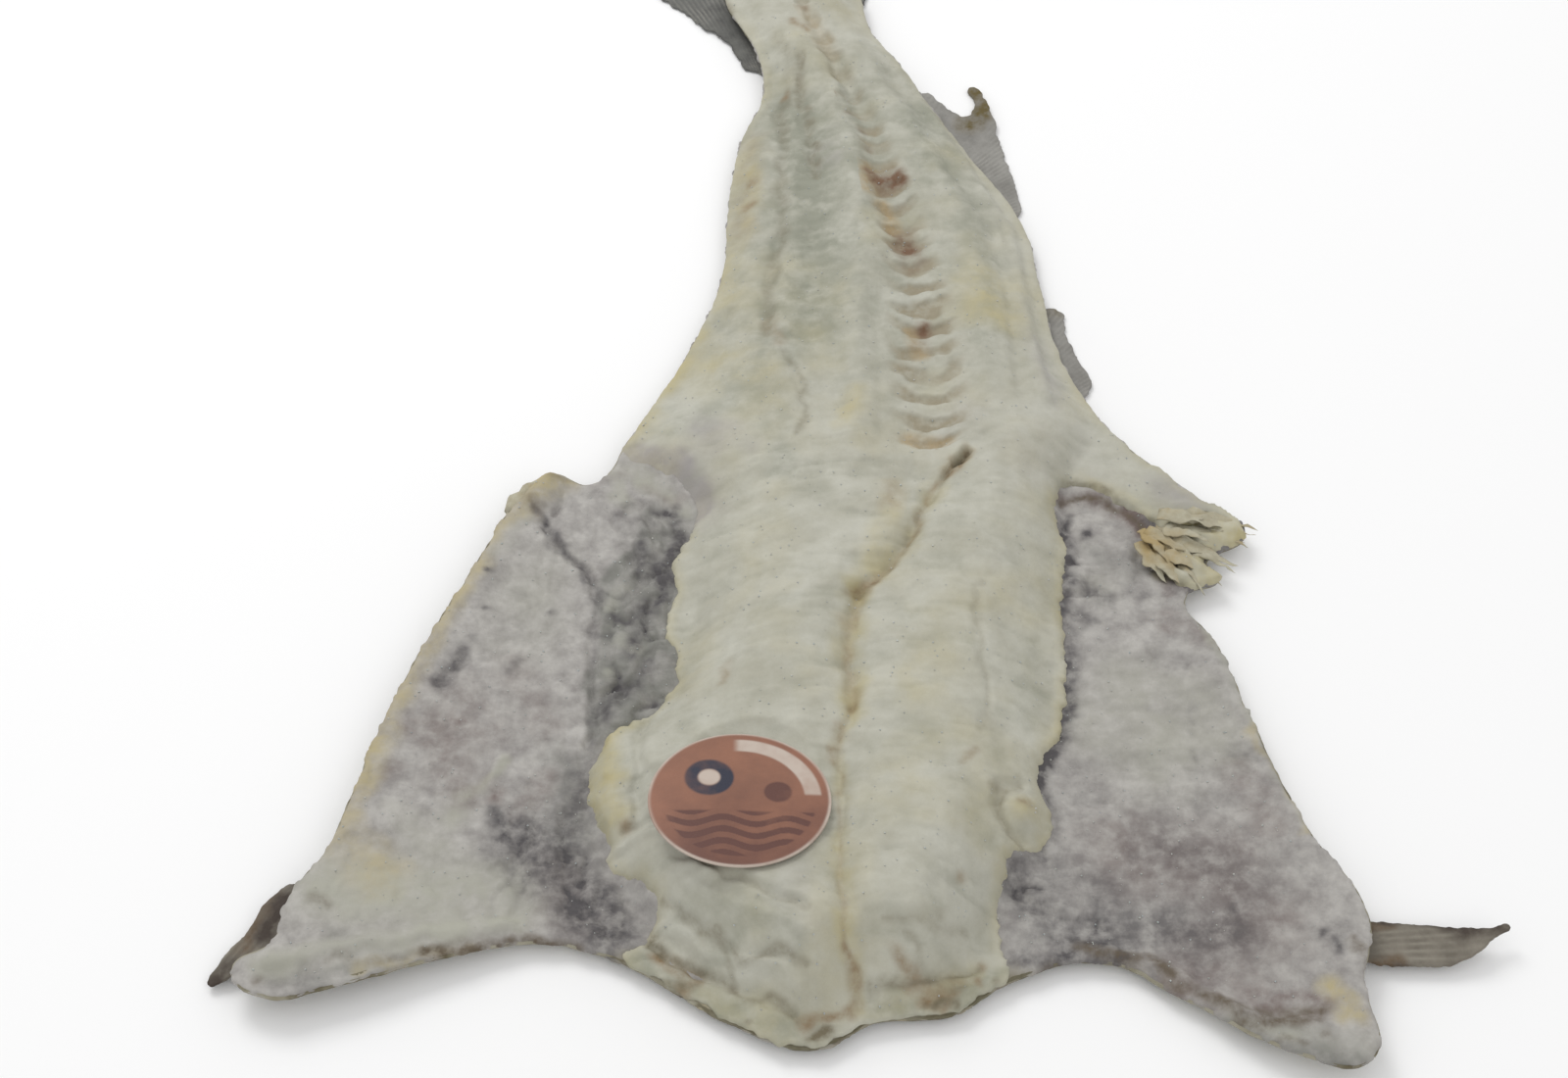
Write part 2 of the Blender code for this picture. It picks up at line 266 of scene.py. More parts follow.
SPINE = [
    (-228, 12), (-208, 22), (-168, 17), (-118, 19), (-66, 25), (-46, 28), (-16, 47),
    (24, 56), (96, 57), (152, 52), (198, 44), (238, 36), (290, 20), (336, 5), (390, -12),
]
LEFT_LOIN = [
    (-228, -18), (-200, -30), (-182, -43), (-157, -60), (-112, -67), (-84, -43), (-7, -38),
    (8, -36), (40, -66), (66, -55), (100, -42), (145, -27), (232, -20), (268, -9),
    (300, -15), (345, -28), (390, -28),
]
RIGHT_LOIN = [
    (-228, 50), (-200, 60), (-165, 78), (-142, 91), (-118, 96), (-68, 103), (-8, 107),
    (25, 112), (60, 128), (92, 114), (140, 107), (176, 103), (228, 80), (282, 55),
    (312, 40), (345, 33), (390, 20),
]
CREST = [
    (-228, 16), (-205, 24), (-178, 30), (-148, 27), (-118, 23.5), (-90, 22.5), (-50, 22),
    (0, 20.5), (50, 18.5), (100, 17), (150, 15), (200, 13.5), (250, 12), (300, 10.5),
    (345, 9), (390, 5),
]
print("stations along the spine:", len(SPINE))

# %% The two heights
EDGE_THICKNESS, FLAP_THICKNESS, LOIN_FOOT = 3.0, 5.0, 7.0
EDGE_RISE, EDGE_RISE_WIDTH = 3.5, 16.0
TAIL_RISE, TAIL_RISE_FROM, TAIL_RISE_TO = 2.4, 262.0, 285.0
WING_LIFT, WING_LIFT_FROM, WING_LIFT_TO = 6.0, 85.0, 175.0
CREST_AT, SEAM_FROM, SEAM_DROP = 0.6, 0.78, 0.18
RIM_WIDTH, NAPE_RIM_WIDTH = 15.0, 30.0
NAPE_FROM, NAPE_TO = -165.0, -195.0
NAPE_MIDDLE, NAPE_HALF, NAPE_HALF_END = 12.0, 45.0, 75.0
TAIL_HALF_FROM, TAIL_HALF_TO = 20.0, 60.0

BODY_RIM = rounded(COLLAR + RIGHT_SIDE + TAIL_STALK + LEFT_SIDE)


def tree_of(line):
    """A search tree of a line's points."""
    tree = kdtree.KDTree(len(line))
    for i, (x, y) in enumerate(line):
        tree.insert((x, y, 0.0), i)
    tree.balance()
    return tree


def distance_to(tree, x, y):
    """Distance from each place to the nearest of the tree's points."""
    return np.array([tree.find((px, py, 0.0))[2] for px, py in zip(x, y)])


body_tree = tree_of(BODY_RIM)


def tail_half(y):
    """0 on the front half of the fish and 1 on its tail half."""
    return smoothstep(TAIL_HALF_FROM, TAIL_HALF_TO, y)


def underside(x, y, rim):
    """Height of the skin above the table: flat under the loins, curled up towards the rim."""
    sideways = np.abs(x - along(SPINE, y))
    lift = WING_LIFT * smoothstep(WING_LIFT_FROM, WING_LIFT_TO, sideways)
    lift += TAIL_RISE * smoothstep(TAIL_RISE_FROM, TAIL_RISE_TO, y)
    return lift + EDGE_RISE * (1.0 - smoothstep(0.0, EDGE_RISE_WIDTH, rim))


def loin_share(x, y):
    """0 on the flaps and at the foot of a loin, 1 on its crest, less in the seam."""
    spine = along(SPINE, y)
    foot = np.where(x < spine, along(LEFT_LOIN, y), along(RIGHT_LOIN, y))
    inwards = np.clip((x - foot) / (spine - foot), 0.0, 1.0)
    rise = np.sin(0.5 * math.pi * np.minimum(inwards / CREST_AT, 1.0)) ** 1.2
    return rise - SEAM_DROP * smoothstep(SEAM_FROM, 1.0, inwards)


def flesh_side(x, y, rim):
    """Height of the flesh side above the table, without its creases."""
    share = loin_share(x, y)
    whole = FLAP_THICKNESS + share * (along(CREST, y) - FLAP_THICKNESS)
    whole += (LOIN_FOOT - FLAP_THICKNESS) * smoothstep(0.0, 0.4, share)
    nape = smoothstep(NAPE_FROM, NAPE_TO, y)
    nape *= 1.0 - smoothstep(NAPE_HALF, NAPE_HALF_END, np.abs(x - NAPE_MIDDLE))
    width = RIM_WIDTH + (NAPE_RIM_WIDTH - RIM_WIDTH) * nape
    thickness = EDGE_THICKNESS + (whole - EDGE_THICKNESS) * smoothstep(0.0, 1.0, rim / width)
    return underside(x, y, rim) + thickness


print("rim of the body:", len(BODY_RIM), "points")

# %% [markdown]
# ## From heights to a solid
#
# A grid would leave steps along a slanting rim. A triangulation fits any outline: points are
# scattered evenly inside it, in staggered rows, and joined with the outline's own points. Two
# such nets, a fine one for the face that shows and a coarse one for the face that doesn't, are
# joined round the rim by a narrow rounded wall, so the piece is closed.

# %% Triangles inside an outline
ROW_PITCH = 0.866  # of the spacing, between staggered rows
HIDDEN_EVERY = 6  # of the places that don't show, one in so many rows and columns is kept
JITTER, RIM_GAP = 0.09, 0.55  # of the spacing


def is_inside(outline, x, y):
    """Whether each place is inside a closed line, by the count of borders to its right."""
    start, end = outline, np.roll(outline, -1, axis=0)
    inside = np.zeros(np.shape(x), bool)
    for (ax, ay), (bx, by) in zip(start, end):
        if ay != by:
            over = (ay <= y) != (by <= y)
            inside ^= over & (x < ax + (y - ay) / (by - ay) * (bx - ax))
    return inside


def scatter(outline, spacing, sparse=None):
    """Points inside the outline in staggered rows; only a few where sparse(x, y) is true."""
    start, end = outline, np.roll(outline, -1, axis=0)
    low, high = outline.min(axis=0), outline.max(axis=0)
    rows = []
    for k, y in enumerate(np.arange(low[1] + spacing / 2, high[1], spacing * ROW_PITCH)):
        over = (start[:, 1] <= y) != (end[:, 1] <= y)
        a, b = start[over], end[over]
        hits = np.sort(a[:, 0] + (y - a[:, 1]) / (b[:, 1] - a[:, 1]) * (b[:, 0] - a[:, 0]))
        places = np.arange(low[0] + spacing * (k % 2) / 2, high[0], spacing)
        inside = np.searchsorted(hits, places) % 2 == 1
        if sparse is not None:
            few = (np.arange(len(places)) % HIDDEN_EVERY == 0) & (k % HIDDEN_EVERY == 0)
            inside &= few | ~sparse(places, np.full(len(places), y))
        rows.append(np.column_stack((places[inside], np.full(inside.sum(), y))))
    points = np.vstack(rows)
    points += np.random.default_rng(11).normal(0, JITTER * spacing, points.shape)
    off = distance_to(tree_of(outline), *points.T)
    keep = off > RIM_GAP * spacing
    border = keep & (off < 2 * spacing)  # a shift may have taken one of these outside
    keep[border] = is_inside(outline, *points[border].T)
    return points[keep]


def net(outline, spacing, sparse=None):
    """Points and triangles that fill an outline. The outline's points come first."""
    points = np.vstack((outline, scatter(outline, spacing, sparse)))
    loop = list(range(len(outline)))
    made = delaunay_2d_cdt([Vector(p) for p in points], [], [loop], 1, 1e-6, True)
    if len(made[0]) != len(points):
        raise ValueError("the outline crosses itself")
    order = np.array([old[0] for old in made[3]])
    faces = order[np.array(made[2])]
    across = np.all(faces < len(outline), axis=1)  # may span a bay of the outline
    keep = np.ones(len(faces), bool)
    keep[across] = is_inside(outline, *points[faces[across]].mean(axis=1).T)
    return points, faces[keep]


print("the body's outline at 10 mm:", len(net(BODY_RIM, 10.0)[1]), "triangles")

# %% A closed piece between two heights
WALL_ROWS = 3


def mesh_object(name, points, faces, node=None, smooth=True):
    """A piece of the fish from points in drawing millimetres."""
    mesh = bpy.data.meshes.new(name)
    mesh.from_pydata((np.asarray(points) * MM + np.array(SHIFT)).tolist(), [], faces)
    mesh.validate()
    mesh.shade_smooth() if smooth else mesh.shade_flat()
    made = bpy.data.objects.new(name, mesh)
    bpy.context.scene.collection.objects.link(made)
    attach(made, "root")
    if node:
        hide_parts(node)
    return made


def slab(name, outline, spacing, top, bottom, under=4.0, bulge=0.3, sparse=None, node=None):
    """A closed solid inside an outline. top and bottom give heights for arrays of x and y; their
    points are spacing and under mm apart; the wall swells by bulge."""
    upper, upper_faces = net(outline, spacing * COARSER, sparse)
    lower, lower_faces = net(outline, under * COARSER)
    n, m = len(outline), len(upper)
    upper_z, lower_z = top(*upper.T), bottom(*lower.T)
    out = np.roll(outline, -1, axis=0) - np.roll(outline, 1, axis=0)
    out /= np.linalg.norm(out, axis=1, keepdims=True)
    out = np.column_stack((out[:, 1], -out[:, 0]))
    points = [np.column_stack((upper, upper_z))]
    loops = [np.arange(n)]
    for row in range(1, WALL_ROWS):
        t = row / WALL_ROWS
        ring = outline + out * bulge * math.sin(math.pi * t)
        height = upper_z[:n] * (1 - t) + lower_z[:n] * t
        loops.append(np.arange(n) + m + n * (row - 1))
        points.append(np.column_stack((ring, height)))
    base = m + n * (WALL_ROWS - 1)
    loops.append(np.arange(n) + base)
    points.append(np.column_stack((lower, lower_z)))
    faces = upper_faces.tolist() + (lower_faces[:, ::-1] + base).tolist()
    for above, below in zip(loops, loops[1:]):
        faces += np.column_stack(
            (above, below, np.roll(below, -1), np.roll(above, -1))
        ).tolist()
    made = mesh_object(name, np.vstack(points), faces, node)
    print(f"{name}: {len(made.data.polygons)} faces")
    return made


def paint(made, name, strength):
    """Stores a stain's strength, a function of x and y in drawing mm, on the mesh's points.
    Over 1 the stain no longer breaks up."""
    flat = np.empty(len(made.data.vertices) * 3, np.float32)
    made.data.vertices.foreach_get("co", flat)
    x, y, _ = ((flat.reshape(-1, 3) - np.array(SHIFT)) / MM).T
    layer = made.data.attributes.new(name, "FLOAT", "POINT")
    layer.data.foreach_set("value", np.clip(strength(x, y), 0, 2).astype(np.float32))


# %% [markdown]
# ## Materials
#
# Dried flesh has no even colour. Three effects serve every piece, so each is a shader node group
# with its own sockets: a mottle of two tones, a stain that breaks up at its edge and also lays the
# painted shade, and a grain of fine pits and salt. The groups put out only colours and values. The
# Principled shader stays in each material.

# %% Helpers for shader nodes
MIX_FIRST, MIX_SECOND, MIX_RESULT = 6, 7, 2  # the mix node's own numbers for its colour sockets


def tone(red, green, blue):
    """A colour as seen on a screen, 0 to 255, as the linear values that shaders take."""
    share = np.array((red, green, blue)) / 255
    linear = np.where(share <= 0.04045, share / 12.92, ((share + 0.055) / 1.055) ** 2.4)
    return (*linear.tolist(), 1.0)


def new_group(name, inputs, outputs):
    """An empty node group with its sockets, given as (label, kind)."""
    group = bpy.data.node_groups.new(name, "ShaderNodeTree")
    for direction, sockets in (("INPUT", inputs), ("OUTPUT", outputs)):
        for label, kind in sockets:
            group.interface.new_socket(label, in_out=direction, socket_type=f"NodeSocket{kind}")
    nodes = group.nodes
    return group, nodes.new("NodeGroupInput"), nodes.new("NodeGroupOutput")


def add_noise(group, scale, detail, roughness):
    """A noise node on the object's own coordinates. scale is a socket."""
    place = group.nodes.new("ShaderNodeTexCoord")
    texture = group.nodes.new("ShaderNodeTexNoise")
    texture.inputs["Detail"].default_value = detail
    texture.inputs["Roughness"].default_value = roughness
    group.links.new(place.outputs["Object"], texture.inputs["Vector"])
    group.links.new(scale, texture.inputs["Scale"])
    return texture.outputs["Fac"]


def add_range(group, value, low, high, to_low=0.0, to_high=1.0):
    """Stretches a value from one range to another."""
    ramp = group.nodes.new("ShaderNodeMapRange")
    for socket, number in zip(("From Min", "From Max", "To Min", "To Max"), (low, high, to_low, to_high)):
        ramp.inputs[socket].default_value = number
    group.links.new(value, ramp.inputs["Value"])
    return ramp.outputs["Result"]


def add_math(group, operation, first, second):
    """Two sockets, or a socket and a number, put together."""
    made = group.nodes.new("ShaderNodeMath")
    made.operation = operation
    for socket, value in zip(made.inputs, (first, second)):
        if isinstance(value, (int, float)):
            socket.default_value = value
        else:
            group.links.new(value, socket)
    return made.outputs["Value"]


def add_mix(group, factor, first, second):
    """Two colours, blended from the first to the second by factor."""
    made = group.nodes.new("ShaderNodeMix")
    made.data_type = "RGBA"
    group.links.new(factor, made.inputs["Factor"])
    group.links.new(first, made.inputs[MIX_FIRST])
    group.links.new(second, made.inputs[MIX_SECOND])
    return made.outputs[MIX_RESULT]


print("a middle grey as a linear value:", round(tone(128, 128, 128)[0], 3))

# %% The three shared effects
def make_mottle():
    """Light ground with dark blotches."""
    group, taken, given = new_group(
        "two_tone_mottle", [("Light", "Color"), ("Dark", "Color"), ("Scale", "Float")],
        [("Color", "Color")],
    )
    blotch = add_noise(group, taken.outputs["Scale"], detail=5.0, roughness=0.65)
    share = add_range(group, blotch, 0.35, 0.68)
    mixed = add_mix(group, share, taken.outputs["Light"], taken.outputs["Dark"])
    group.links.new(mixed, given.inputs["Color"])
    return group


def make_stain():
    """A stain over a colour, also used for painted shade, broken up where it is weak and whole where it is
    strong.
    """
    group, taken, given = new_group(
        "broken_stain",
        [("Color", "Color"), ("Stain", "Color"), ("Strength", "Float"), ("Scale", "Float")],
        [("Color", "Color")],
    )
    patches = add_noise(group, taken.outputs["Scale"], detail=4.0, roughness=0.6)
    patches = add_range(group, patches, 0.36, 0.62, 0.45, 1.25)
    strength = add_math(group, "MULTIPLY", taken.outputs["Strength"], patches)
    strength = add_math(group, "MINIMUM", strength, 1.0)
    mixed = add_mix(group, strength, taken.outputs["Color"], taken.outputs["Stain"])
    group.links.new(mixed, given.inputs["Color"])
    return group


def make_grain():
    """Fine pits: a height for the bump, and a roughness that follows it."""
    group, taken, given = new_group(
        "salt_grain", [("Scale", "Float")], [("Height", "Float"), ("Roughness", "Float")]
    )
    fine = add_noise(group, taken.outputs["Scale"], detail=6.0, roughness=0.7)
    group.links.new(fine, given.inputs["Height"])
    group.links.new(add_range(group, fine, 0.3, 0.7, 0.62, 0.86), given.inputs["Roughness"])
    return group


MOTTLE, STAIN, GRAIN = make_mottle(), make_stain(), make_grain()


def dried_material(name, light, dark, mottle_scale, stains, grain_scale=900.0, relief=0.25):
    """A matt dried surface: mottled ground, then stains and painted shade in order, then grain. stains
    are (attribute, colour, scale of the break-up); relief is the grain's depth in mm."""
    material = bpy.data.materials.new(name)
    material.use_nodes = True
    tree = material.node_tree
    shader = tree.nodes["Principled BSDF"]
    shader.inputs["Specular IOR Level"].default_value = 0.35

    def group_node(group, **values):
        made = tree.nodes.new("ShaderNodeGroup")
        made.node_tree = group
        for label, value in values.items():
            made.inputs[label].default_value = value
        return made

    colour = group_node(MOTTLE, Light=light, Dark=dark, Scale=mottle_scale).outputs["Color"]
    for attribute, stain, scale in stains:
        mask = tree.nodes.new("ShaderNodeAttribute")
        mask.attribute_name = attribute
        layer = group_node(STAIN, Stain=stain, Scale=scale)
        tree.links.new(colour, layer.inputs["Color"])
        tree.links.new(mask.outputs["Fac"], layer.inputs["Strength"])
        colour = layer.outputs["Color"]
    tree.links.new(colour, shader.inputs["Base Color"])
    grain = group_node(GRAIN, Scale=grain_scale)
    bump = tree.nodes.new("ShaderNodeBump")
    bump.inputs["Strength"].default_value = 0.6
    bump.inputs["Distance"].default_value = relief * MM
    tree.links.new(grain.outputs["Height"], bump.inputs["Height"])
    tree.links.new(bump.outputs["Normal"], shader.inputs["Normal"])
    tree.links.new(grain.outputs["Roughness"], shader.inputs["Roughness"])
    return material


print("shader groups:", MOTTLE.name, STAIN.name, GRAIN.name)

# %% [markdown]
# ## Flesh
#
# The cream flesh is one piece: the two loins between their borders and, from the middle of the
# fish on, the whole width out to the rim. Its edge lies on the belly lining as a rounded lip, so
# this piece has its own outline, a little over the flaps below it. Only along the cut of the nape,
# and at the upper left where flesh and lining have grown together, is there no lip. Muscle dries in
# thin blocks, which show as fine wrinkles across the fish, and as scallops along the border.

# %% Outline of the flesh
FLESH_EDGE = [
    # the left border, from the nape until the flesh reaches the rim of the fish
    (-53, -192), (-46, -185), (-43, -176), (-48, -166), (-60, -158), (-61, -148), (-65, -138),
    (-69, -122), (-67, -107), (-59, -95), (-47, -88), (-41, -78), (-39, -66), (-43, -50), (-41, -32),
    (-41, -14), (-36, 0), (-36, 14), (-44, 25), (-56, 31), (-64, 37), (-60, 48), *LEFT_SIDE[5::-1],
    # round the end of the tail
    (-28, 340), (-25, 356), (-17, 368), (-8, 374), (0, 372), (9, 375), (19, 366), (28, 355), (34, 343),
    # the right side out to the torn corner, and back along the right border
    *RIGHT_SIDE[16:5:-1], (153, -32), (145, -24), (141, -14), (144, -2), (138, 8), (129, 15), (116, 22),
    (107, 19), (105, 8), (108, -6), (107, -24), (104, -42), (105, -62), (101, -88), (97, -105),
    (90, -116), (88, -124), (93, -134), (93, -144), (86, -151), (79, -155), (75, -163), (73, -176),
    (73, -190),
    # along the cut of the nape
    (75, -200.5), (67, -206), (56, -213), (43, -215.5), (30, -217), (20, -222), (10, -226.5), (-5, -223),
    (-21, -215), (-38, -204),
]
flesh_curve = rounded(FLESH_EDGE[::-1])
flesh_rough = 1.2 - 0.9 * tail_half(flesh_curve[:, 1])  # the sides of the tail are smoother
flesh_line = ragged(flesh_curve, flesh_rough, 6.5, seed=5)
flesh_tree = tree_of(flesh_line)
print("outline of the flesh:", len(flesh_line), "points")

# %% Creases of the flesh
SEAM = [
    (25, -213), (19, -190), (18, -165), (20, -145), (19, -120), (24, -100), (23, -80),
    (24, -60), (27, -46),
]
SLIT = [(27, -46), (38, -36), (50, -12), (58, 8), (70, 26)]
LIGHT_RIDGE = [
    (8, 290), (15, 273), (22, 252), (29, 218), (31, 188), (34, 166), (35, 150), (32, 126),
    (29, 96), (29, 60), (29, 36),
]
HOLLOW = [(5, 250), (12, 205), (13, 165), (12, 130), (10, 98)]
OUTER_CREASE = [(-2, 255), (0, 222), (-1, 190), (-2, 158), (-6, 138), (-8, 112), (-8, 98)]
INNER_CREASE = [(7, 282), (8, 262), (9, 240), (12, 225), (14, 200)]
LOW_CREASE = [(0, 84), (5, 68), (9, 52), (7, 37)]
LOIN_CREASE = [(70, -45), (71, -78), (72, -98), (69, -110)]
LOBE_BORDER = [(82, -128), (75, -132), (73, -140), (76, -148), (84, -151)]
LEFT_NAPE_FOLDS = [
    [(-44, -188), (-24, -202), (4, -217)], [(-40, -176), (-28, -188), (-14, -199), (8, -206)],
    [(-30, -166), (-12, -180), (8, -190)],
]
RIGHT_NAPE_FOLDS = [[(28, -209), (46, -204), (64, -198)], [(34, -194), (62, -187)]]
FLESH_CREASES = [
    (SEAM[5:], 7.0, -1.2), (SEAM[5:], 4.0, -0.9), (SEAM[:6], 4.5, -0.9), (SEAM[:6], 2.0, -0.6),
    (SLIT, 3.4, -1.3), (SLIT[:3], 6.0, -0.9), ([(70, 26), (86, 40)], 3.5, -0.9),
    ([(66, 20), (70, 25)], 3.4, -2.6), ([(61, 13), (68, 22)], 2.4, -1.6),
    # the flap of flesh that leans over the slit
    ([(33, -30), (43, -8), (54, 10)], 8.0, 1.7),
    # faint creases along the loins
    (LOIN_CREASE, 3.0, -0.7), ([(-9, -32), (-14, -58), (-20, -82), (-22, -100)], 3.0, -0.6),
    # folds of the nape, along the cut
    (LEFT_NAPE_FOLDS[0], 3.0, -2.4), ([(-42, -182), (-20, -196), (6, -211)], 3.2, 2.0),
    (LEFT_NAPE_FOLDS[1], 2.6, -1.8), ([(-36, -170), (-14, -188), (10, -198)], 3.2, 1.3),
    (LEFT_NAPE_FOLDS[2], 2.4, -1.6), ([(-40, -166), (-22, -174)], 3.0, 1.6),
    (RIGHT_NAPE_FOLDS[0], 3.0, -1.8), ([(32, -201), (58, -195)], 3.0, 1.3),
    (RIGHT_NAPE_FOLDS[1], 2.6, -1.1), ([(50, -180), (64, -170)], 3.0, -1.0),
    ([(52, -212), (60, -207)], 4.0, 2.0),
    # lobes at the border
    ([(-60, -100), (-62, -122), (-60, -142)], 9.0, 3.4),
    ([(-50, -94), (-51, -130), (-50, -148)], 3.5, -2.2), ([(-56, -152), (-40, -152)], 3.0, 1.8),
    ([(-54, -147), (-44, -146)], 2.0, -1.4), ([(84, -139)], 9.5, 3.2), (LOBE_BORDER, 3.6, -2.6),
    # tail half: light ridge beside the backbone, hollow with a crease each side, outer bands
    (LIGHT_RIDGE, 10.0, 2.8), (HOLLOW, 13.0, -2.4), (OUTER_CREASE, 7.0, -1.5), (OUTER_CREASE, 3.4, -0.5),
    (INNER_CREASE, 5.0, -1.2), (INNER_CREASE, 2.6, -0.6), (LOW_CREASE, 4.5, -0.8),
    (LOW_CREASE, 2.4, -0.4), ([(-13, 250), (-13, 205), (-15, 160), (-25, 120)], 9.0, 1.8),
    ([(-20, 118), (-30, 70)], 3.0, -0.9), ([(22, 290), (34, 250), (44, 225)], 7.0, -1.2),
    ([(80, 60), (82, 110), (79, 160), (68, 200), (54, 250)], 7.0, 1.0),
    ([(94, 60), (93, 120), (87, 170), (69, 218), (46, 274)], 5.0, -1.4),
    ([(104, 60), (101, 110), (97, 170), (76, 222), (52, 280)], 4.5, 2.2),
    # the torn tuft
    ([(148, -12), (156, -24)], 4.5, 3.2), ([(146, -1), (163, -8)], 4.0, 2.6),
    ([(149, -7), (159, -14)], 2.5, -3.2), ([(156, 3), (171, -4)], 3.5, 2.0),
    ([(142, -20), (149, -28)], 4.0, 2.2), ([(144, -15), (149, -22)], 2.0, -2.4),
    ([(150, 6), (168, 2)], 2.2, -1.4),
]
NAPE_CUT = [([(-54, -194), (-20, -216), (10, -227), (30, -217), (56, -214), (75, -201)], 12.0, 0.9)]
BLENDED_EDGE = [([(-74, 34), (-58, 31), (-46, 25), (-38, 12)], 15.0, 1.0)]  # at the upper left
print("creases of the flesh:", len(FLESH_CREASES), "marks")


# %% Wrinkles of the flesh
def wrinkles(x, y):
    """Fine wrinkles across the fish, in mm, longer than they are high and never quite regular."""
    u = x + 4 * fractal(x, y, 40.0, 70, 2)
    v = y + 2.5 * fractal(x, y, 50.0, 71, 2) + 0.001 * (x - along(SPINE, y)) ** 2
    u, v = u + 2.0 * noise(x, y, 9.0, 76), v + 0.9 * noise(x, y, 9.0, 77)
    blocks = noise(u, v, (19.0, 5.5), 72) + 0.6 * noise(u, v, (8.0, 9.0), 78)
    fine = noise(u, v, (8.0, 2.3), 73) + 0.6 * noise(u, v, (4.0, 1.5), 74)
    cuts = 1 - creased(u, v, (22.0, 7.0), 75)
    return 0.45 * blocks + 0.22 * fine - 0.38 * cuts


steps = np.arange(0.0, 12.0, 3.0)
print("wrinkles every 3 mm along the seam:", wrinkles(np.full(4, 20.0), steps).round(2), "mm")

# %% [markdown]
# The backbone's bed lies in the flesh as a shallow trough. Its own piece comes later. The flesh is
# lowered inside the bed, so that the bone shows there.

# %% The bed of the backbone
BONE_FROM, BONE_TO = 28.0, 336.0
ROUND_END, POINT_LENGTH = 42.0, 12.0  # the front end is round up to there, the tail end pointed
RIB_SPACING = 6.2
OFF_THE_BED = 9.0  # a share of the width that means: not on the bed at all
BONE_HALF_WIDTH = [
    (28, 17.0), (44, 20.0), (70, 20.0), (105, 17.5), (150, 14.5), (200, 11.5), (238, 9.5), (290, 7.0),
    (336, 4.5),
]


def bone_width(y):
    """Half the width of the bed, which ends round at the front and in a point at the tail."""
    before = (ROUND_END - np.minimum(y, ROUND_END)) / (ROUND_END - BONE_FROM)
    front = np.sqrt(np.clip(1 - before ** 2, 0, 1))
    tail = np.sqrt(np.clip((BONE_TO - y) / POINT_LENGTH, 0, 1))
    half_width = along(BONE_HALF_WIDTH, y) + 0.8 * noise(0 * y, y, 11.0, 65)
    return np.maximum(half_width * front * tail, 0.01)


def bone_share(x, y):
    """0 on the middle of the bed and 1 on its border."""
    inside = (y > BONE_FROM) & (y < BONE_TO)
    share = np.abs(x - along(SPINE, y)) / bone_width(np.clip(y, BONE_FROM, BONE_TO))
    return np.where(inside, share, OFF_THE_BED)


def bone_depth(x, y):
    """How far inside the border of the bed, in mm; negative outside."""
    inside = bone_width(np.clip(y, BONE_FROM, BONE_TO)) - np.abs(x - along(SPINE, y))
    return np.minimum(inside, 1.5 * np.minimum(y - BONE_FROM, BONE_TO - y))


def ribs(x, y):
    """Faint marks of the thin bones beside the backbone, across the hollow, in mm."""
    near = 1 - smoothstep(4.0, 14.0, line_distance(x, y, HOLLOW))
    bowed = y - 0.02 * (x - 12) ** 2 + 2.5 * noise(x, y, 14.0, 83)
    return 0.28 * near * np.cos(2 * math.pi * bowed / RIB_SPACING)


print("the bed is", round(2 * bone_width(np.arange(BONE_FROM, BONE_TO)).max(), 1), "mm at its widest")

# %% Where the tag lies
tag_low, tag_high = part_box("tag")
TAG_RADIUS = 31.0
TAG_LEAN = np.radians((-3.0, -8.0))  # along x, along y
LOWERED = 0.6  # mm from the middle of the tag's box down to the middle of its underside
PRESSED = 9.0  # mm round the tag where the flesh gives way under it
TAG_MIDDLE = ((tag_low + tag_high) / 2 - SHIFT) / MM


def tag_height(x, y):
    """Height of the tag's underside: a leaning disc whose left side droops a little."""
    aside, ahead = x - TAG_MIDDLE[0], y - TAG_MIDDLE[1]
    droop = 1.6 * (np.clip(-aside, 0, None) / TAG_RADIUS) ** 2 + 0.5 * (ahead / TAG_RADIUS) ** 2
    lean_x, lean_y = np.tan(TAG_LEAN)
    return TAG_MIDDLE[2] - LOWERED + lean_y * ahead + lean_x * aside - droop


print("middle of the tag:", [round(v, 1) for v in TAG_MIDDLE])

# %% Heights of the flesh
LIP_ROUND, LIP_HEIGHT, LIP_FOOT = 3.5, 2.6, 0.9
EDGE_WARP = 0.5  # mm; the marks of the edges stay close to their lines


def lip_rise(edge, width):
    """0 at an edge and 1 from width inwards, rounded like a quarter of a circle."""
    return np.sqrt(np.clip(1 - (1 - np.minimum(edge / width, 1.0)) ** 2, 0, 1))


def flesh_level(x, y, edge):
    """The flesh with its rounded lip, without its wrinkles."""
    rim = distance_to(body_tree, x, y)
    blended = marked(x, y, BLENDED_EDGE, warp=EDGE_WARP)
    cut = marked(x, y, NAPE_CUT, warp=EDGE_WARP)
    lip = (LIP_HEIGHT * lip_rise(edge, LIP_ROUND) - LIP_FOOT) * (1 - 0.65 * smoothstep(30.0, 75.0, y))
    lip *= (1 - blended) * (1 - cut)
    return flesh_side(x, y, rim) + lip - blended * (1 - smoothstep(0.0, 6.0, edge))


def flesh_surface(x, y):
    """The whole flesh side with wrinkles, creases and lumps, the bed of the backbone filled."""
    edge = distance_to(flesh_tree, x, y)
    height = flesh_level(x, y, edge)
    open_ground = smoothstep(0.0, 5.0, edge)
    height += open_ground * (1 - 0.6 * tail_half(y)) * wrinkles(x, y)
    height += marked(x, y, FLESH_CREASES, "relief", warp=1.2) * smoothstep(0.0, 3.0, edge)
    height += 0.9 * fractal(x, y, 26.0, 80, 4) * open_ground + 0.16 * fractal(x, y, 2.6, 81, 2)
    return height + ribs(x, y)


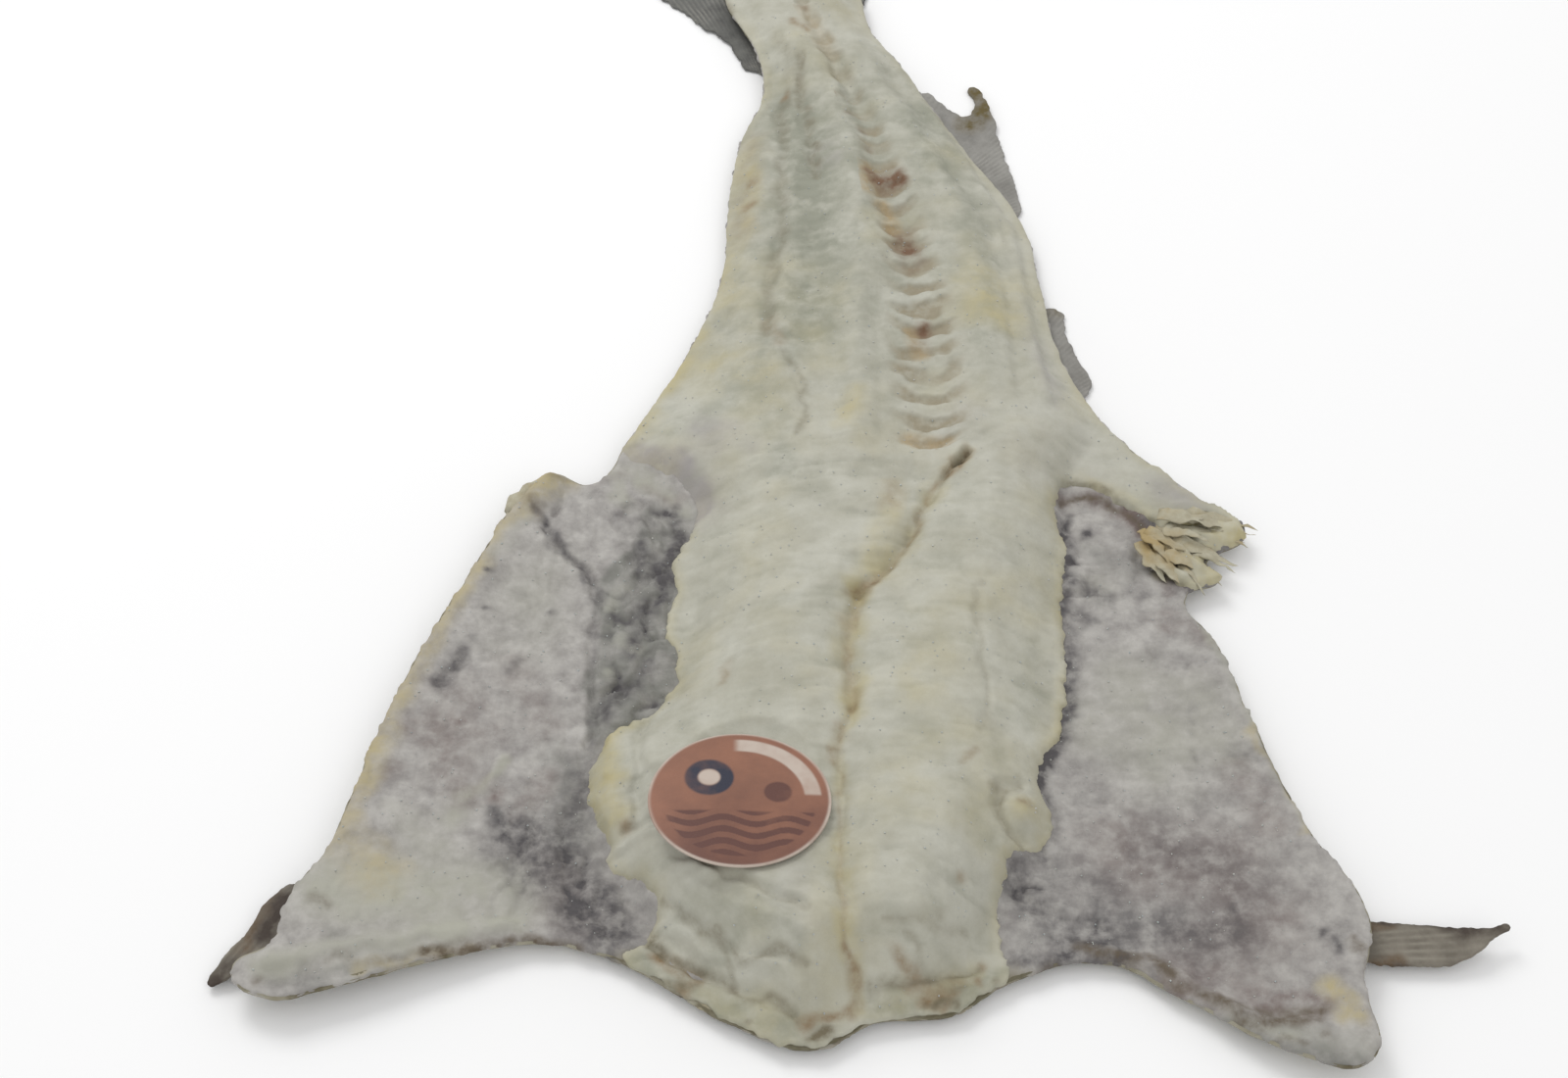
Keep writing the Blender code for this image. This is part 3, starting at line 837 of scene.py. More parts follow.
def flesh_top(x, y):
    """The flesh as it shows: lower inside the backbone's bed, and pressed down under the tag."""
    height = flesh_surface(x, y) - 3.4 * smoothstep(1.0, 3.6, bone_depth(x, y))
    off_tag = np.hypot(x - TAG_MIDDLE[0], y - TAG_MIDDLE[1]) - TAG_RADIUS
    pressed = tag_height(x, y) - 0.9 + 0.06 * np.clip(off_tag, 0, PRESSED) ** 2
    return np.where(off_tag < PRESSED, np.minimum(height, pressed), height)


def flesh_bottom(x, y):
    rim = distance_to(body_tree, x, y)
    return underside(x, y, rim) + 1.3 + 1.2 * smoothstep(2.0, 12.0, rim)


flesh = slab("flesh", flesh_line, 1.05, flesh_top, flesh_bottom, under=6.0, node="body")

# %% [markdown]
# The ground colour of salted flesh is a greyish cream. Fat that has met the air turns yellow,
# along the edges and in the seam. Blood dries brown. Where the flesh is thin, the membranes
# under it show through grey or lilac.
# Painted shade darkens the valleys of the wrinkles, the creases, the folds and the flesh along the upper
# flap's edge.

# %% Colours of the flesh
CREAM, CREAM_SHADE = tone(184, 183, 171), tone(166, 164, 149)
YELLOW, OCHRE, HOLLOW_SHADE = tone(176, 167, 130), tone(160, 132, 84), tone(147, 139, 119)
BROWN, BLOOD = tone(132, 112, 84), tone(112, 86, 66)
LILAC, GREY_GREEN, SHADOW = tone(156, 152, 149), tone(143, 144, 130), tone(112, 104, 84)
print("cream, as linear values:", [round(v, 3) for v in CREAM[:3]])

# %% Marks on the flesh
FLESH_YELLOW = [
    (SEAM[5:], 8.0, 0.5), (SEAM[:6], 4.5, 0.4), (SLIT, 6.0, 0.45),
    ([(42, 4), (38, -16), (28, -46)], 10.0, 0.45), ([(83, 130), (85, 105)], 15.0, 0.5),
    ([(-10, 76), (-22, 84)], 14.0, 0.35), ([(95, 100), (98, 140)], 8.0, 0.2),
    ([(-60, 48), (-44, 85), (-34, 108)], 9.0, 0.5), ([(-60, -98), (-64, -122), (-58, -142)], 9.0, 0.7),
    ([(64, -199), (50, -206)], 6.0, 0.4), ([(-30, -204), (8, -220), (30, -214), (60, -206)], 6.0, 0.2),
    ([(-14, 225), (-16, 175), (-25, 125)], 9.0, 0.3), ([(150, -8), (158, -22)], 11.0, 0.9),
    ([(150, 2), (172, -5)], 8.0, 0.85), ([(24, 40), (26, 58)], 8.0, 0.5),
    ([(-14, 205), (-14, 175)], 6.0, 0.4), ([(60, -60), (50, -90)], 20.0, 0.2), ([(84, -138)], 7.0, 0.5),
    ([(60, -110), (40, -128)], 14.0, 0.2), ([(-28, -60), (-34, -84)], 12.0, 0.25),
    ([(120, 22), (140, 8)], 8.0, 0.3), ([(20, 330), (30, 310)], 10.0, 0.25),
    ([(-34, 100), (-30, 70)], 14.0, 0.3), ([(4, 298), (22, 274)], 14.0, 0.25),
]
FLESH_BROWN = [
    (SEAM[5:], 4.0, 0.36), (SEAM[:6], 2.2, 0.32), (SLIT, 2.6, 0.5), ([(24, -48), (34, -40)], 3.5, 0.5),
    ([(20, -110), (18, -124)], 3.5, 0.5), ([(22, -60)], 5.0, 0.4), ([(24, -78)], 4.0, 0.3),
    ([(18, -118)], 3.5, 0.8), ([(1, 258), (2, 262)], 4.0, 0.7), ([(-14, 200)], 5.0, 0.7),
    ([(-14, 183)], 5.0, 0.65), ([(-42, -192), (-34, -197), (-27, -201)], 5.0, 0.9),
    ([(8, -220), (20, -217)], 4.5, 0.8), ([(-32, -205)], 5.0, 0.8), ([(47, -212), (54, -210)], 4.5, 0.9),
    # The mark from (62, 14) is painted shade, brown, in the dark wedge at the upper end of the slit.
    ([(64, -204)], 4.0, 0.6), ([(42, -208), (56, -205)], 4.5, 0.5), ([(62, 14), (70, 25)], 4.5, 0.95),
    ([(42, 6), (40, -4)], 8.0, 0.35), ([(148, -22), (156, -14)], 6.0, 0.4), ([(84, -137)], 5.0, 0.7),
    ([(66, -196)], 4.0, 0.7), ([(-52, -146)], 4.0, 0.6), ([(23, -214), (21, -200)], 3.0, 0.6),
    ([(38, -200), (44, -204)], 4.0, 0.6), ([(6, 310), (10, 304)], 5.0, 0.6),
    ([(-2, 90), (-8, 108)], 5.0, 0.3), ([(-14, 228), (-18, 165)], 10.0, 0.22), ([(60, -172)], 3.5, 0.5),
    ([(68, -120), (62, -126)], 3.0, 0.4), ([(-20, -78), (-24, -88)], 3.5, 0.4),
]
FLESH_LILAC = [
    ([(95, 20), (110, 45), (120, 30)], 26.0, 0.12),
    ([(-74, 34), (-58, 32), (-44, 24), (-36, 10)], 24.0, 0.5), ([(-34, 44), (-24, 34)], 9.0, 0.5),
    ([(-12, 32)], 8.0, 0.6), ([(18, 225), (20, 205)], 9.0, 0.6), ([(145, 22), (158, 10)], 12.0, 0.6),
    ([(108, 60), (104, 100)], 8.0, 0.4), ([(-34, 50), (-20, 40)], 10.0, 0.4),
    ([(60, 30), (72, 50)], 12.0, 0.3), ([(0, -170), (6, -190)], 14.0, 0.2), ([(-60, 40)], 10.0, 0.3),
    ([(-20, 364), (-8, 374), (9, 375), (20, 364)], 8.0, 0.4),
]
FLESH_GREEN = [
    (HOLLOW, 17.0, 0.95), ([(4, 160), (16, 108)], 15.0, 0.4), ([(10, 120), (14, 240)], 95.0, 0.5),
    ([(0, 20), (-10, 60)], 16.0, 0.4), ([(64, 250), (80, 180), (86, 100)], 18.0, 0.5),
    ([(-2, 100), (-20, 60), (-40, 50)], 18.0, 0.35), (OUTER_CREASE, 7.0, 0.5),
    ([(90, -60), (88, -100)], 10.0, 0.25), ([(80, 70), (84, 130)], 12.0, 0.3),
    ([(70, 200), (60, 240)], 14.0, 0.6), ([(-50, -195), (-20, -213), (10, -224)], 9.0, 0.8),
    ([(30, -214), (56, -210), (72, -200)], 8.0, 0.8), ([(-20, -184), (6, -200)], 9.0, 0.25),
]
# Painted shade in the creases, the folds of the nape, the slit and along the upper flap's edge; some marks,
# such as the spots along the cut of the nape, are the flesh's own dark colour.
FLESH_SHADOW = [
    (OUTER_CREASE, 5.0, 0.35), (INNER_CREASE, 3.6, 0.5), (LOW_CREASE, 3.0, 0.35),
    ([(2, 255), (4, 280), (-4, 300)], 5.0, 0.25), (LOBE_BORDER, 2.6, 0.4),
    ([(66, 19), (70, 25)], 3.6, 0.6), ([(60, 12), (69, 24)], 2.4, 0.5), (SLIT, 1.8, 0.3),
    ([(-44, -190)], 4.0, 0.9), ([(13, -222)], 3.5, 0.8), ([(46, -213)], 3.0, 0.8),
    (LOIN_CREASE, 2.5, 0.22), ([(-26, 348), (-27, 330), (-22, 312)], 4.0, 0.5),
    ([(-25, 356), (-17, 368), (-8, 374), (9, 375), (20, 365)], 5.0, 0.35),
    ([(142, -24), (146, -30)], 4.0, 0.7), (LEFT_NAPE_FOLDS[0], 2.4, 0.5), (LEFT_NAPE_FOLDS[1], 2.2, 0.45),
    (LEFT_NAPE_FOLDS[2], 2.0, 0.25), (RIGHT_NAPE_FOLDS[0], 2.4, 0.5),
    ([(-24, -190), (-16, -207)], 2.0, 0.35), ([(40, -196), (50, -205)], 2.0, 0.3),
    ([(-44, -186), (-41, -191)], 4.0, 0.7), ([(-38, -203), (-31, -207)], 3.5, 0.8),
    ([(-12, -218)], 3.0, 0.6), ([(56, -212), (50, -214)], 3.0, 0.8), ([(70, -203)], 3.0, 0.7),
    ([(8, -224), (15, -222)], 3.5, 0.9), (RIGHT_NAPE_FOLDS[1], 2.2, 0.3),
    ([(107, 22), (122, 20), (137, 9), (143, -5)], 3.0, 0.5),
]
GREY_BORDER = [  # where the border isn't yellow
    ([(-74, 32), (-56, 31), (-42, 22), (-36, 8)], 16.0, 1.0),
    ([(107, 21), (122, 19), (137, 8), (143, -6)], 8.0, 0.7),
]
flesh_tables = (FLESH_YELLOW, FLESH_BROWN, FLESH_LILAC, FLESH_GREEN, FLESH_SHADOW)
print("marks on the flesh:", sum(map(len, flesh_tables)))

# %% How the stains of the flesh spread
STAIN_WARP = 2.2  # mm


def broken(marks, seed):
    """A stain's strength from its marks, with wavering borders."""
    return lambda x, y: marked(x, y, marks, warp=STAIN_WARP, seed=seed)


def flesh_yellow(x, y):
    """Yellow fat: by its marks, along the border and in faint patches."""
    edge = distance_to(flesh_tree, x, y)
    patchy = 0.25 * np.clip(fractal(x, y, 26.0, 93, 3), 0, 1)
    border = (0.4 - 0.2 * tail_half(y)) * (1 - smoothstep(0.0, 6.0, edge))
    border *= (1 - marked(x, y, GREY_BORDER)) * (0.35 + 0.65 * smoothstep(-195.0, -175.0, y))
    return marked(x, y, FLESH_YELLOW, warp=2.5) + border + patchy


def membrane_and_wrinkle_shade(x, y):
    """Grey-green membrane by its marks, and painted shade of the same grey-green in the valleys of the
    wrinkles.
    """
    # painted shade: the valleys of the wrinkles take the membrane's grey-green
    folds = np.clip(-0.9 * wrinkles(x, y), 0, 1) * (1 - 0.4 * tail_half(y))
    return marked(x, y, FLESH_GREEN, warp=3.0) + 0.5 * folds


def lilac_border(x, y):
    """The flesh takes the lining's tone where it runs into it without a lip."""
    ragged_edge = distance_to(flesh_tree, x, y) + 6.0 * fractal(x, y, 11.0, 95, 3)
    near = smoothstep(0.0, 0.4, marked(x, y, BLENDED_EDGE, warp=EDGE_WARP))
    return 0.95 * near * (1 - smoothstep(0.0, 17.0, ragged_edge))


def paint_flesh_stains_and_shade(made):
    """The stains and the painted shade of the flesh, the same on the backbone's bed, so that its border
    doesn't show.
    """
    paint(made, "yellow", flesh_yellow)
    paint(made, "brown", broken(FLESH_BROWN, 90))
    paint(made, "lilac", lambda x, y: (
        marked(x, y, FLESH_LILAC, warp=STAIN_WARP, seed=91) + lilac_border(x, y)
    ))
    paint(made, "green", membrane_and_wrinkle_shade)
    # the shadow layer: painted shade in the creases and folds, with some real dark spots
    paint(made, "shadow", broken(FLESH_SHADOW, 92))


paint_flesh_stains_and_shade(flesh)
FLESH_STAINS = [
    ("lilac", LILAC, 60.0), ("green", GREY_GREEN, 90.0), ("yellow", YELLOW, 70.0), ("brown", BROWN, 160.0),
    ("shadow", SHADOW, 200.0),
]
flesh.data.materials.append(dried_material("cod_flesh", CREAM, CREAM_SHADE, 45.0, FLESH_STAINS))
print("stains of the flesh, in order:", [label for label, _, _ in FLESH_STAINS])

# %% [markdown]
# ## Backbone
#
# The front half of the backbone is cut out when the fish is split. The rest stays in the tail,
# sliced open: a row of hollow vertebrae, each with a light rim bent towards the tail, like a
# ladder of arcs. Blood dries in some of the hollows. The piece has the flesh's own surface along
# its border and dips under it there, so that no line shows between the two.

# %% The backbone
VERTEBRA, FIRST_RIM, RIM_RELIEF = 13.3, 37.4, 1.7
BED_REACH = 3.0  # mm that the piece runs on beside the bed, under the flesh
FRONT_TO, FRONT_POINTS, SIDE_STEP = 34.0, 44, 0.7  # the round front end has closer points


def rims(x, y):
    """1 on the rims of the vertebrae and 0 in their hollows."""
    width = bone_width(y)
    aside = np.abs(x - along(SPINE, y) + 1.0) / np.maximum(width, 3.0)
    bend = 0.5 * width * np.minimum(aside, 1.2) ** 2.6
    place = (y - bend - FIRST_RIM + 2.6 * fractal(x, y, 16.0, 61, 2)) / VERTEBRA
    return smoothstep(-0.9, 0.8, np.cos(2 * math.pi * place) + 0.6 * fractal(x, y, 7.0, 62, 3))


def bone_clear(x, y):
    """How clearly the vertebrae show: less near the border of the bed and towards the tail."""
    share = bone_share(x, y)
    clear = (1 - smoothstep(0.4, 0.95, share)) * (0.75 + 0.4 * noise(x, y, 16.0, 64))
    return clear * (1 - 0.3 * smoothstep(195.0, 240.0, y))


def bone_top(x, y):
    """The flesh's surface, hollowed and ribbed by the vertebrae, and sunk beyond the border."""
    share = np.minimum(bone_share(x, y), 1.2)
    height = flesh_surface(x, y) - 1.2 * (1 - smoothstep(0.1, 0.9, share))
    height += 0.06 - 0.5 * smoothstep(0.5, -BED_REACH, bone_depth(x, y))
    height += RIM_RELIEF * (rims(x, y) - 0.45) * bone_clear(x, y)
    return height + 0.25 * fractal(x, y, 5.0, 63, 3) * (1 - smoothstep(0.6, 0.9, share))


def bone_bottom(x, y):
    return underside(x, y, distance_to(body_tree, x, y)) + 5.0


bone_y = np.concatenate((
    np.linspace(BONE_FROM - 2, FRONT_TO, FRONT_POINTS)[:-1], np.arange(FRONT_TO, BONE_TO + 1, SIDE_STEP),
))
middle, half = along(SPINE, bone_y), bone_width(bone_y) + BED_REACH
bone_line = np.vstack((
    np.column_stack((middle + half, bone_y)), np.column_stack((middle - half, bone_y))[:0:-1],
))
backbone = slab(
    "backbone", bone_line, 0.7, bone_top, bone_bottom, under=4.0, bulge=0.0, node="backbone",
)

# %% Colours of the backbone
BLOOD_SPOTS = [
    ([(41, 198), (48, 197)], 8.5, 0.9), ([(42, 192), (49, 193)], 7.0, 0.7), ([(40, 194)], 5.0, 0.5),
    ([(51.5, 156), (52, 149)], 8.5, 0.9), ([(52, 152)], 5.0, 0.8), ([(56, 99)], 8.0, 0.9),
    ([(56, 98)], 4.5, 0.9), ([(55, 90)], 7.0, 0.4), ([(7, 318)], 5.0, 0.4),
    ([(52, 139), (56, 140)], 6.0, 0.3), ([(38, 218)], 4.0, 0.5), ([(34, 231)], 4.0, 0.5),
    ([(29, 243)], 4.0, 0.45), ([(24, 256)], 4.0, 0.4), ([(50, 178)], 4.0, 0.3),
]
BONE_OCHRE = [
    ([(36, 186), (36, 202)], 6.0, 0.45), ([(54, 84), (52, 96)], 6.0, 0.5), ([(48, 34), (62, 30)], 7.0, 0.5),
    ([(46, 163), (42, 180)], 6.0, 0.5), ([(8, 318), (20, 290)], 8.0, 0.2),
]
paint_flesh_stains_and_shade(backbone)
# painted shade: the hollows between the vertebrae's rims are made darker
paint(backbone, "hollow", lambda x, y: 1.1 * (1 - rims(x, y)) * bone_clear(x, y))
paint(backbone, "blood", broken(BLOOD_SPOTS, 94))
paint(backbone, "ochre", lambda x, y: marked(x, y, BONE_OCHRE))
BONE_STAINS = [
    *FLESH_STAINS, ("hollow", HOLLOW_SHADE, 120.0), ("ochre", OCHRE, 150.0), ("blood", BLOOD, 150.0),
]
backbone.data.materials.append(dried_material("cod_bone", CREAM, CREAM_SHADE, 45.0, BONE_STAINS))
print("backbone stains:", len(BLOOD_SPOTS) + len(BONE_OCHRE), "marks")

# %% [markdown]
# ## Belly flaps
#
# The flaps are thin, and what shows of them is the black and grey lining of the belly, dried
# into crumpled folds. This piece runs under the flesh too, where nothing shows, so there its
# points are few.
# The valleys of the folds, the creases, the line beside the right loin and the edge of the upper flap get
# painted shade.

# %% Outline and creases of the flaps
flap_line = ragged(BODY_RIM, rough=0.7, size=5.0, seed=15)
FLAP_CREASES = [
    # left: crease from the knob, then straight down; crumpled strip beside the loin
    ([(-91, 0), (-88, -8), (-80, -18), (-73, -26), (-70, -34), (-70, -70), (-69, -104)], 2.6, -1.6),
    ([(-60, -10), (-52, -24), (-62, -40), (-50, -60), (-58, -84)], 4.0, -1.4),
    ([(-48, 8), (-42, -4), (-50, -16)], 3.0, -1.6), ([(-56, 2), (-48, -12), (-58, -26)], 3.0, 1.3),
    ([(-118, -66), (-124, -80)], 3.5, -1.2), ([(-100, -111), (-103, -124)], 3.5, 1.4),
    ([(-92, 20), (-96, 12)], 10.0, 3.6), ([(-84, 16), (-88, 4)], 2.4, -2.0),
    # left wing: ridge and collar bone
    ([(-170, -198), (-130, -188), (-92, -180)], 6.0, 2.2),
    ([(-168, -206), (-140, -201), (-112, -192)], 3.0, -1.4),
    ([(-150, -150), (-120, -156), (-98, -158)], 4.0, -0.9),
    ([(-98, -156), (-86, -170), (-92, -178)], 3.0, -1.2),
    # right: folds of the lining
    ([(118, -20), (114, -32), (110, -42)], 3.5, -1.2), ([(120, -62), (150, -60)], 4.0, -0.7),
    ([(112, -92), (150, -96)], 5.0, 0.8), ([(105, -128), (140, -126), (165, -134)], 4.0, -0.8),
    ([(78, -165), (95, -180), (120, -188)], 6.0, -1.2),
    ([(107, -188), (124, -196), (142, -209), (156, -219)], 3.5, 1.6),
    ([(160, -221), (186, -226)], 5.0, 1.2), ([(110, 14), (126, 10), (135, -2), (138, -16)], 8.0, -2.2),
]
CRUMPLED = [
    ([(-54, 6), (-56, -85)], 24.0, 1.0), ([(-85, -140), (-62, -178)], 22.0, 0.6),
    ([(112, 0), (108, -30)], 12.0, 0.6), ([(85, -165), (105, -190)], 18.0, 0.4),
    ([(-50, -194), (5, -222), (60, -210)], 12.0, 0.8),
]
print("creases of the flaps:", len(FLAP_CREASES), "marks")

# %% Heights of the flaps
FLAP_ROUND, THINNEST = 3.0, 0.9
HIDDEN_FROM = 5.0  # mm inside the flesh's edge


def streaks(x, y):
    """Fine folds across the right flap, -1 to 1."""
    wide = noise(x + 3 * noise(x, y, 20.0, 117), y + 2 * noise(x, y, 25.0, 118), (26.0, 3.4), 116)
    return wide * smoothstep(88.0, 100.0, x) * smoothstep(-150.0, -125.0, y)


def crumple(x, y):
    """Folds of the dried lining, in mm."""
    strong = marked(x, y, CRUMPLED)
    u = x + 4 * fractal(x, y, 18.0, 110, 2)
    v = y + 4 * fractal(x, y, 18.0, 111, 2)
    folds = creased(u, v, (11.0, 16.0), 112) + 0.6 * creased(u, v, (6.0, 5.0), 113)
    folds = (0.5 + 1.8 * strong) * (folds - 0.9)
    folds += 0.5 * fractal(x, y, 14.0, 114, 3) + 0.3 * streaks(x, y)
    return folds * (1 - 0.8 * marked(x, y, BLENDED_EDGE, warp=EDGE_WARP))


def under_flesh(x, y):
    """1 well under the flesh, 0 outside it."""
    edge = distance_to(flesh_tree, x, y)
    return np.where(is_inside(flesh_line, x, y), smoothstep(0.5, 4.0, edge), 0.0)


def hidden(x, y):
    """Whether the flesh covers a place for good."""
    return is_inside(flesh_line, x, y) & (distance_to(flesh_tree, x, y) > HIDDEN_FROM)


def flap_bottom(x, y):
    rim = distance_to(body_tree, x, y)
    return underside(x, y, rim) + 0.6 + 1.6 * smoothstep(2.0, 10.0, rim)


def flap_top(x, y):
    """The lining as it shows, at least THINNEST above the skin; under the flesh a thin sheet."""
    rim = distance_to(body_tree, x, y)
    height = flesh_side(x, y, rim) - 0.4
    height += 1.4 * lip_rise(rim, FLAP_ROUND) - 1.2 + crumple(x, y) * smoothstep(0.0, 5.0, rim)
    height += marked(x, y, FLAP_CREASES, "relief") * smoothstep(0.0, 3.0, rim)
    height += 0.14 * fractal(x, y, 2.2, 115, 2) - 0.9 * marked(x, y, NAPE_CUT, warp=EDGE_WARP)
    height = np.maximum(height, underside(x, y, rim) + THINNEST + 2.1 * smoothstep(0.0, 6.0, rim))
    covered = under_flesh(x, y)
    return height * (1 - covered) + (flap_bottom(x, y) + 0.5) * covered


flaps = slab(
    "belly_flaps", flap_line, 1.0, flap_top, flap_bottom, under=5.0, sparse=hidden, node="body",
)

# %% Colours of the flaps
LINING, LINING_SHADE = tone(175, 172, 167), tone(139, 135, 132)
# The darkest tone is the black of the lining and also serves as painted shade in the folds, the creases,
# under the upper flap's edge and beside the right loin.
BLACK_LINING_AND_SHADE, RED_BROWN, UMBER = tone(80, 77, 78), tone(108, 94, 90), tone(93, 82, 67)
PALE, FAT, MOSS = tone(166, 165, 153), tone(170, 159, 126), tone(108, 109, 102)
HEM = tone(143, 138, 121)  # the cut edge below the nape
print("black lining, as linear values:", [round(v, 3) for v in BLACK_LINING_AND_SHADE[:3]])

# %% Marks on the flaps
TAIL_BASE = [(-28, 352), (-24, 374), (-4, 388), (22, 372), (30, 354)]
# Black patches of the lining, and painted shade along its creases and under the upper flap's edge.
FLAP_DARK_AND_SHADE = [
    ([(-60, 2), (-54, -18)], 12.0, 0.25), ([(-44, 10), (-40, -4), (-43, -14)], 6.0, 1.0),
    ([(-49, 10)], 5.0, 0.9), ([(-46, -18), (-44, -30), (-50, -42)], 7.5, 1.0),
    ([(-55, -12), (-52, -24)], 5.0, 0.8), ([(-52, -50), (-58, -62)], 5.5, 0.8),
    ([(-60, -76), (-64, -92)], 7.0, 0.7), ([(-50, -66), (-56, -80)], 5.0, 0.7),
    ([(-64, -44), (-52, -46)], 4.0, 0.7), ([(-60, 12), (-66, 4)], 4.0, 0.4),
    ([(-90, -146), (-74, -162), (-60, -180)], 22.0, 0.7), ([(-66, -172), (-60, -186)], 14.0, 0.6),
    ([(-72, -118), (-74, -142)], 14.0, 0.65), ([(-100, -136), (-88, -150)], 9.0, 0.4),
    ([(-118, -64), (-124, -80)], 5.5, 0.7), ([(-114, -58)], 4.0, 0.4),
    ([(-91, 0), (-88, -8), (-80, -18), (-73, -26)], 3.4, 0.7), ([(-73, -26), (-70, -36)], 3.4, 0.5),
    ([(-96, 6), (-91, -2)], 3.5, 0.6), ([(-70, -38), (-70, -70), (-69, -104)], 2.6, 0.3),
    ([(-113, -25)], 3.0, 0.8), ([(-88, -42)], 3.5, 0.6), ([(-109, -41)], 2.5, 0.6),
    ([(-103, -132), (-98, -145)], 5.0, 0.6), ([(-96, -66), (-100, -72)], 3.0, 0.4),
    ([(78, -158), (86, -176), (100, -192)], 20.0, 0.6), ([(76, -194), (112, -192)], 8.0, 0.65),
    ([(110, -180), (150, -186)], 20.0, 0.6), ([(90, -150), (110, -165)], 14.0, 0.35),
    ([(178, -188)], 4.0, 0.8), ([(183, -192)], 4.5, 0.9), ([(90, -122), (97, -110)], 5.0, 0.6),
    ([(107, -3)], 3.5, 0.8), ([(116, -2)], 5.0, 1.0), ([(108, -17)], 4.0, 0.6),
    ([(111, -28), (118, -34)], 7.0, 0.6), ([(108, -42), (114, -46)], 5.5, 0.7),
    ([(110, 8), (106, 2)], 3.0, 0.6), ([(130, -150), (160, -165)], 22.0, 0.35), ([(132, -30)], 8.0, 0.25),
    ([(150, -176)], 4.0, 0.5), ([(122, -200)], 4.0, 0.4), ([(108, -52), (104, -88)], 7.0, 0.3),
    ([(-32, -208)], 4.0, 0.5), ([(-46, -200)], 4.0, 0.5), (TAIL_BASE, 16.0, 0.5),
]
FLAP_BROWN = [
    ([(118, -150), (150, -160), (158, -180), (140, -196)], 30.0, 0.55),
    ([(155, -210), (176, -214)], 8.0, 0.7), ([(160, -120), (168, -140)], 12.0, 0.4),
    ([(-78, -158), (-70, -180)], 16.0, 0.4), ([(130, -205)], 10.0, 0.5), ([(-138, -118)], 7.0, 0.5),
    ([(-135, -100)], 7.0, 0.4), ([(-101, -128)], 5.0, 0.7), ([(-116, -94)], 4.0, 0.5),
    # The marks from (134, 12) and (104, 15) are painted shadow under the upper flap's lower edge.
    ([(-92, -132), (-84, -120)], 8.0, 0.4), ([(134, 12), (142, -6), (143, -22), (148, -32)], 6.0, 0.8),
    ([(104, 15), (117, 19), (129, 12), (137, 5), (141, -10)], 6.5, 0.7),
    ([(-120, -85), (-110, -100)], 18.0, 0.35), ([(-40, 14), (-50, 20)], 6.0, 0.3),
    ([(-64, 26), (-74, 22)], 6.0, 0.3), ([(140, -44), (156, -60)], 7.0, 0.35),
    ([(-125, -100), (-112, -125)], 14.0, 0.4), ([(-100, -70), (-85, -95)], 12.0, 0.3),
]
FLAP_UMBER = [
    ([(-120, -194), (-102, -189), (-88, -187), (-68, -188)], 4.0, 0.8),
    ([(-150, -199), (-120, -193)], 3.5, 0.3),
    ([(100, -188), (124, -198), (142, -211), (154, -219), (176, -217)], 5.0, 0.75),
    ([(-157, -174)], 6.0, 0.5), ([(-99, 8), (-96, 6)], 4.5, 0.5), ([(-90, 21), (-84, 20)], 5.0, 0.35),
    ([(-174, -206)], 4.0, 0.5), ([(-50, -195), (-44, -200)], 5.0, 0.9),
    ([(10, -226), (18, -222)], 4.0, 0.8), ([(60, -211), (52, -214)], 4.5, 0.8),
    # painted shadow under the upper flap's lower edge
    ([(106, 16), (117, 19.5), (129, 13), (137, 6), (142, -8)], 3.6, 0.75),
    ([(-36, -206), (-30, -210)], 4.0, 0.8), ([(176, -226)], 4.0, 0.6),
    ([(160, -226), (166, -229)], 3.5, 0.6), ([(88, -197)], 5.0, 0.6),
    ([(188, -190), (192, -198)], 3.0, 0.7), ([(68, -206), (76, -201)], 4.0, 0.6),
]
FLAP_FAT = [
    ([(-105, 5), (-118, -24), (-134, -68), (-146, -106), (-153, -138)], 9.0, 0.75),
    ([(-94, 14), (-99, 8)], 9.0, 0.7), ([(-142, -98), (-147, -126)], 9.0, 0.6),
    ([(-153, -150), (-138, -162)], 16.0, 0.55), ([(180, -208), (184, -218)], 8.0, 0.9),
    ([(167, -100), (181, -145)], 3.5, 0.6), ([(152, -36), (160, -62)], 3.0, 0.4),
    ([(-92, 23)], 10.0, 0.9), ([(-100, 14), (-84, 20)], 9.0, 0.6), ([(140, -10), (146, -24)], 6.0, 0.9),
    ([(-40, -205), (-25, -212)], 5.0, 0.5), ([(56, -212), (40, -214)], 6.0, 0.5),
    ([(-140, -201), (-104, -191)], 4.0, 0.5),
]
FLAP_PALE = [
    ([(-92, -24), (-96, -56)], 24.0, 0.35), ([(-156, -166), (-120, -170), (-98, -170)], 26.0, 0.85),
    ([(-172, -200), (-130, -190), (-92, -180)], 9.0, 0.75),
    ([(-100, -111), (-104, -124), (-112, -128)], 4.5, 0.9),
    ([(115, -92), (135, -112), (126, -78)], 28.0, 0.55), ([(120, -28)], 14.0, 0.35),
    ([(162, -224), (188, -230)], 9.0, 0.35), ([(140, -214), (165, -228)], 4.0, 0.4),
    ([(-115, -136)], 12.0, 0.8), ([(150, -80), (158, -110)], 16.0, 0.4),
    ([(-70, 30), (-58, 28), (-48, 20), (-40, 10)], 8.0, 0.8), ([(-66, 22), (-62, 12)], 6.0, 0.6),
    ([(-132, -140), (-122, -150)], 12.0, 0.5), ([(-100, 0), (-108, -14)], 6.0, 0.4),
    ([(-60, -30), (-64, -38)], 4.0, 0.6), ([(-62, -56), (-56, -60)], 4.0, 0.5),
    ([(-62, -70), (-66, -80)], 4.0, 0.6), ([(152, -40), (160, -64), (168, -98), (182, -145)], 4.5, 0.7),
]
